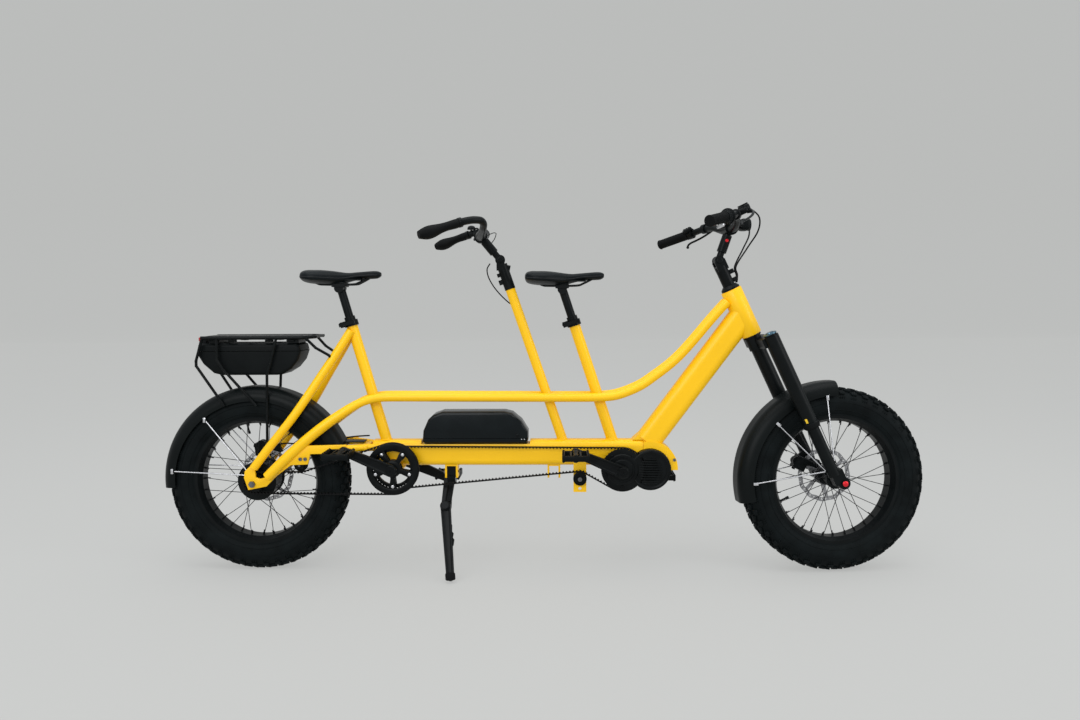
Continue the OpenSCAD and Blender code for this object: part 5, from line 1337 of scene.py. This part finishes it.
def fork_trim():
    """Seals, crown caps, the plain tag on the leg and the red axle nut."""
    seals, caps = [], []
    for s in (-1, 1):
        seal = lathe([(19.3, -8), (22, -8), (24.6, -5), (26.4, -3), (26.4, 9), (25, 10.6), (24.2, 10.6), (24.2, 2),
            (19.3, 0)], 48)
        seals.append(place(seal, Matrix.Translation((LEG_AHEAD, s * LEG_Y, -330))))
        cap = lathe([(0, 0), (21.5, 0), (21.5, 2), (19, 3.6), (13, 3.6), (12, 6.4), (0, 6.4)], 40, False)
        caps.append(place(cap, Matrix.Translation((LEG_AHEAD, s * LEG_Y, -10.2))))
    finish_piece(join(seals), "fork_seals", "steering", grip_rubber(), on_fork(), 40)
    finish_piece(join(caps), "fork_caps", "steering",
                 look("blued_alloy", (0.08, 0.16, 0.22), 0.25, metal=0.9, bump=0.05), on_fork(), 40)
    tag = block((7, 1.6, 15), (LEG_AHEAD - 15, -LEG_Y - 19.4, -306), 0.5, 2, Matrix.Rotation(radians(-38), 4, "Z"))
    finish_piece(tag, "fork_tag", "steering", yellow_mark(), on_fork(), 40)
    nut = lathe([(0, 0), (7, 0), (9, 2), (9, 7), (6.5, 9), (0, 9)], 24, False)
    place(nut, Matrix.Translation((FORK_RAKE, -(LEG_Y + 15), AXLE_DOWN)) @ Matrix.Rotation(radians(90), 4, "X"))
    finish_piece(nut, "front_axle_nut", "fork_slider", red_anodised(), on_fork(), 40)


def guard_wires():
    """Bright wire stays and clips of both mudguards."""
    rear, front = [], []
    for s in (-1, 1):
        for x, z in ((-160, 506), (-274, 336)):
            rear.append(rod((x, s * 56, z), (-8, s * 73, 326), 2.1))
            rear.append(block((9, 3, 16), (x, s * 60, z), 1))
        for a in (73, 112, 156):
            t = radians(a)
            q = Vector((FORK_RAKE + 271 * cos(t), s * 56, AXLE_DOWN + 271 * sin(t)))
            e = Vector((LEG_AHEAD + (18 if a < 90 else -18), s * 90, AXLE_DOWN + (72 if a < 90 else 56)))
            front.append(rod(q, e, 2.1))
            front.append(block((16, 3, 9), (0, 0, 0), 1, 2,
                Matrix.Translation(q + Vector((0, s * 4, 0))) @ Matrix.Rotation(-t, 4, "Y")))
    finish_piece(join(rear), "rear_guard_wires", "frame", bright_steel(), on_bike())
    finish_piece(join(front), "front_guard_wires", "fork_slider", bright_steel(), on_fork())


def kickstand():
    """Forged leg with its adjuster, hinge boss and rubber foot, and the neck that carries it."""
    pivot, foot = Vector((626, -56, 219)), Vector((652, -158, 6))
    axis = Vector((0, 0.911, -0.412))
    leg = sunk_plate(spin_outline(226, 16.5, 12.5), 15, 5, 2.6)
    place(leg, Matrix.Translation((0, 0, 2.5)))
    adjuster = plate([(58, 8), (62, 17), (84, 15.5), (90, 20), (104, 16.5), (110, 21), (128, 17), (138, 8)], 10, 1.2)
    place(adjuster, Matrix.Translation((0, 0, 5)))
    boss = lathe([(0, 0.8), (16.4, 0.8), (17.4, 2), (17.4, 18), (16, 19.6), (9.6, 19.6), (8.6, 18), (0, 18)], 48,
        False)
    m = stand(at(*pivot), foot - pivot, -axis)
    finish_piece(join([leg, adjuster, boss]), "kickstand_blade", "kickstand", black_alloy(), m, 35,
        ["kickstand_leg"])
    rubber = block((24, 31, 19), (224, 0, 10), 5, 3)
    finish_piece(rubber, "kickstand_foot", "kickstand", grip_rubber(), m)
    neck = plate(spin_outline(108, 17, 14), 13, 2.5, 3)
    place(neck, Matrix.Translation((0, 0, -14)))
    cap = lathe([(0, 20.4), (14.5, 20.4), (14.5, 28), (12, 30.5), (0, 30.5)], 40, False)
    m = stand(at(*pivot), Vector((4, 48, 111)), -axis)
    finish_piece(join([neck, cap]), "kickstand_neck", "frame", black_alloy(), m, 35)


REAR_HOSE = [(360, 24, 440), (310, 56, 432), (262, 68, 424), (200, 62, 412), (130, 58, 404), (70, 58, 408),
    (20, 60, 402)]
STOKER_LEAD = [(774, 3, 1008), (764, 4, 990), (768, 4, 965), (782, 3, 938), (802, 2, 912), (826, 1, 888),
    (846, 0, 872)]


def frame_hoses():
    parts = [tube(smooth(REAR_HOSE, 8), 2.5, None, 4), tube(smooth(STOKER_LEAD, 8), 2, None, 4)]
    finish_piece(join(parts), "frame_hoses", "frame", cable_skin(), on_bike(), 60, ["frame_cables"])


class TANDEM_OT_trim(bpy.types.Operator):
    """Add the fork's trim, the mudguard wires, the kickstand and the frame's hoses"""

    bl_idname = "tandem.trim"
    bl_label = "Fork trim and hoses"

    def execute(self, context):
        fork_trim()
        guard_wires()
        kickstand()
        frame_hoses()
        return {"FINISHED"}


def node_looks():
    """Finish of each model node that stays in view."""
    paint, alloy, black = yellow_paint(), black_alloy(), black_paint()
    table = {paint: ("front_frame", "boom", "posts")}
    table[black] = ("motor", "rear_rim", "front_rim", "fork_lower", "fork_upper", "rear_seatpost", "front_seatpost",
        "rear_hub", "front_hub")
    table[alloy] = ("fittings", "rear_caliper", "front_caliper", "stoker_stem_base", "stoker_stem_arm", "rack",
                    "stem_base", "stem_arm", "rear_collar_lever", "front_collar_lever")
    table[guard_plastic()] = ("rear_mudguard", "front_mudguard")
    table[dark_spoke()] = ("rear_spokes", "front_spokes")
    table[dull_steel()] = ("frame_bolts",)
    return table


class TANDEM_OT_nodes(bpy.types.Operator):
    """Paint the frame, fork, rims, hubs, rack, mudguards and fasteners"""

    bl_idname = "tandem.nodes"
    bl_label = "Paint model nodes"

    def execute(self, context):
        for finish, names in node_looks().items():
            for name in names:
                obj = frame["nodes"][name]
                if not obj.material_slots:
                    obj.data.materials.append(finish)
                for place_ in obj.material_slots:
                    place_.material = finish
        return {"FINISHED"}


# ---------------------------------------------------------------- stage


def soft_light(name, where, target, size, power):
    data = bpy.data.lights.new(name, "AREA")
    data.shape = "RECTANGLE"
    data.size, data.size_y = size
    data.energy = power
    obj = bpy.data.objects.new(name, data)
    bpy.context.scene.collection.objects.link(obj)
    obj.location = where
    obj.rotation_euler = (Vector(target) - Vector(where)).to_track_quat("-Z", "Y").to_euler()


class TANDEM_OT_stage(bpy.types.Operator):
    """Set up the pale sweep, the soft lights and the camera"""

    bl_idname = "tandem.stage"
    bl_label = "Stage"

    def execute(self, context):
        settings = context.scene.tandem_stage
        deselect()
        bpy.ops.mesh.primitive_plane_add(size=1, location=(0, 4, 0))
        floor = context.object
        floor.scale = (70, 24, 1)
        bpy.ops.object.transform_apply(location=True, rotation=True, scale=True)
        bpy.ops.object.mode_set(mode="EDIT")
        bpy.ops.mesh.select_all(action="DESELECT")
        bpy.ops.object.mode_set(mode="OBJECT")
        for e in floor.data.edges:
            e.select = all(floor.data.vertices[v].co.y > 0 for v in e.vertices)
        bpy.ops.object.mode_set(mode="EDIT")
        bpy.ops.mesh.select_mode(type="EDGE")
        bpy.ops.mesh.extrude_region_move(TRANSFORM_OT_translate={"value": (0, 0, 12)})
        bpy.ops.mesh.select_mode(type="VERT")
        bpy.ops.object.mode_set(mode="OBJECT")
        bpy.ops.object.transform_apply(location=True, rotation=True, scale=True)
        bevel(floor, 3, 16, 30)
        soften(floor, 60)
        floor.name = "sweep"
        grey = settings.sweep_tone
        floor.data.materials.append(look("sweep_paper", (grey, grey * 1.01, grey * 0.99), 0.9, mottle=0.01,
            mottle_scale=1, bump=0.02, bump_scale=80,
                                         emit=settings.sweep_glow))
        context.scene.view_settings.view_transform = "Standard"
        world = bpy.data.worlds.new("studio") if not context.scene.world else context.scene.world
        context.scene.world = world
        world.use_nodes = True
        back = world.node_tree.nodes["Background"]
        back.inputs["Color"].default_value = (0.93, 0.97, 1, 1)
        back.inputs["Strength"].default_value = settings.ambient
        soft_light("overhead", (0.0, -0.6, 4.2), (0, 0, 0.3), (5.5, 3.2), settings.key_power)
        soft_light("camera_side", (-1.8, -4.6, 2.6), (0, 0, 0.6), (3.5, 2.2), settings.fill_power)
        soft_light("right_side", (4.4, -2.0, 2.2), (0.4, 0, 0.6), (2.2, 2.2), settings.fill_power * 0.5)
        cam = bpy.data.cameras.new("view")
        obj = bpy.data.objects.new("view", cam)
        context.scene.collection.objects.link(obj)
        yaw, pitch, roll = radians(-1.67), radians(4.65), radians(-0.40)
        ahead = Vector((sin(yaw) * cos(pitch), cos(yaw) * cos(pitch), -sin(pitch)))
        right = Vector((cos(yaw), -sin(yaw), 0))
        up = right.cross(ahead)
        r2 = cos(roll) * right + sin(roll) * up
        u2 = -sin(roll) * right + cos(roll) * up
        m = Matrix((r2, u2, -ahead)).transposed().to_4x4()
        m.translation = at(1013.1, -2700, 912.7)
        obj.matrix_world = m
        cam.sensor_width = 36
        cam.lens = settings.lens
        cam.clip_end = 60
        context.scene.camera = obj
        return {"FINISHED"}


# ---------------------------------------------------------------- settings and registration


class TandemSizes(bpy.types.PropertyGroup):
    tread_blocks: IntProperty(name="Tread blocks", description="Blocks in each row of tread", default=44, min=24,
        max=80)


class TandemFinish(bpy.types.PropertyGroup):
    frame_colour: FloatVectorProperty(
        name="Frame colour", description="Powder coat of the frame", default=(0.95, 0.54, 0.002), subtype="COLOR",
        size=3
    )


class TandemStage(bpy.types.PropertyGroup):
    sweep_tone: FloatProperty(name="Sweep tone", description="Lightness of the floor paper", default=0.13, min=0,
        max=1)
    sweep_glow: FloatProperty(name="Sweep glow", description="Even brightness of the lit paper behind", default=3.1,
        min=0)
    ambient: FloatProperty(name="Ambient light", description="Strength of the even light", default=0.75, min=0)
    key_power: FloatProperty(name="Overhead light", description="Power of the overhead light", default=110,
        unit="POWER")
    fill_power: FloatProperty(name="Side light", description="Power of the side lights", default=90, unit="POWER")
    lens: FloatProperty(name="Lens", description="Focal length of the view", default=27.587,
        subtype="DISTANCE_CAMERA")


class TANDEM_PT_panel(bpy.types.Panel):
    bl_label = "Tandem"
    bl_idname = "TANDEM_PT_panel"
    bl_space_type = "VIEW_3D"
    bl_region_type = "UI"
    bl_category = "Tandem"

    def draw(self, context):
        scene = context.scene
        self.layout.prop(scene.tandem_sizes, "tread_blocks")
        self.layout.prop(scene.tandem_finish, "frame_colour")
        for name in ("sweep_tone", "sweep_glow", "ambient", "key_power", "fill_power", "lens"):
            self.layout.prop(scene.tandem_stage, name)
        for op in STEPS:
            self.layout.operator(op.bl_idname)


STEPS = (TANDEM_OT_stage, TANDEM_OT_nodes, TANDEM_OT_frame, TANDEM_OT_wheels, TANDEM_OT_drive, TANDEM_OT_cases,
    TANDEM_OT_saddles,
         TANDEM_OT_stoker, TANDEM_OT_cockpit, TANDEM_OT_trim)
GROUPS = (TandemSizes, TandemFinish, TandemStage)


def register():
    for cls in GROUPS + STEPS + (TANDEM_PT_panel,):
        bpy.utils.register_class(cls)
    bpy.types.Scene.tandem_sizes = PointerProperty(type=TandemSizes)
    bpy.types.Scene.tandem_finish = PointerProperty(type=TandemFinish)
    bpy.types.Scene.tandem_stage = PointerProperty(type=TandemStage)


def unregister():
    for name in ("tandem_sizes", "tandem_finish", "tandem_stage"):
        delattr(bpy.types.Scene, name)
    for cls in reversed(GROUPS + STEPS + (TANDEM_PT_panel,)):
        bpy.utils.unregister_class(cls)


def main():
    register()
    bpy.ops.tandem.stage()
    bpy.ops.tandem.nodes()
    bpy.ops.tandem.frame()
    bpy.ops.tandem.wheels()
    bpy.ops.tandem.drive()
    bpy.ops.tandem.cases()
    bpy.ops.tandem.saddles()
    bpy.ops.tandem.stoker()
    bpy.ops.tandem.cockpit()
    bpy.ops.tandem.trim()


if __name__ == "__main__":
    main()
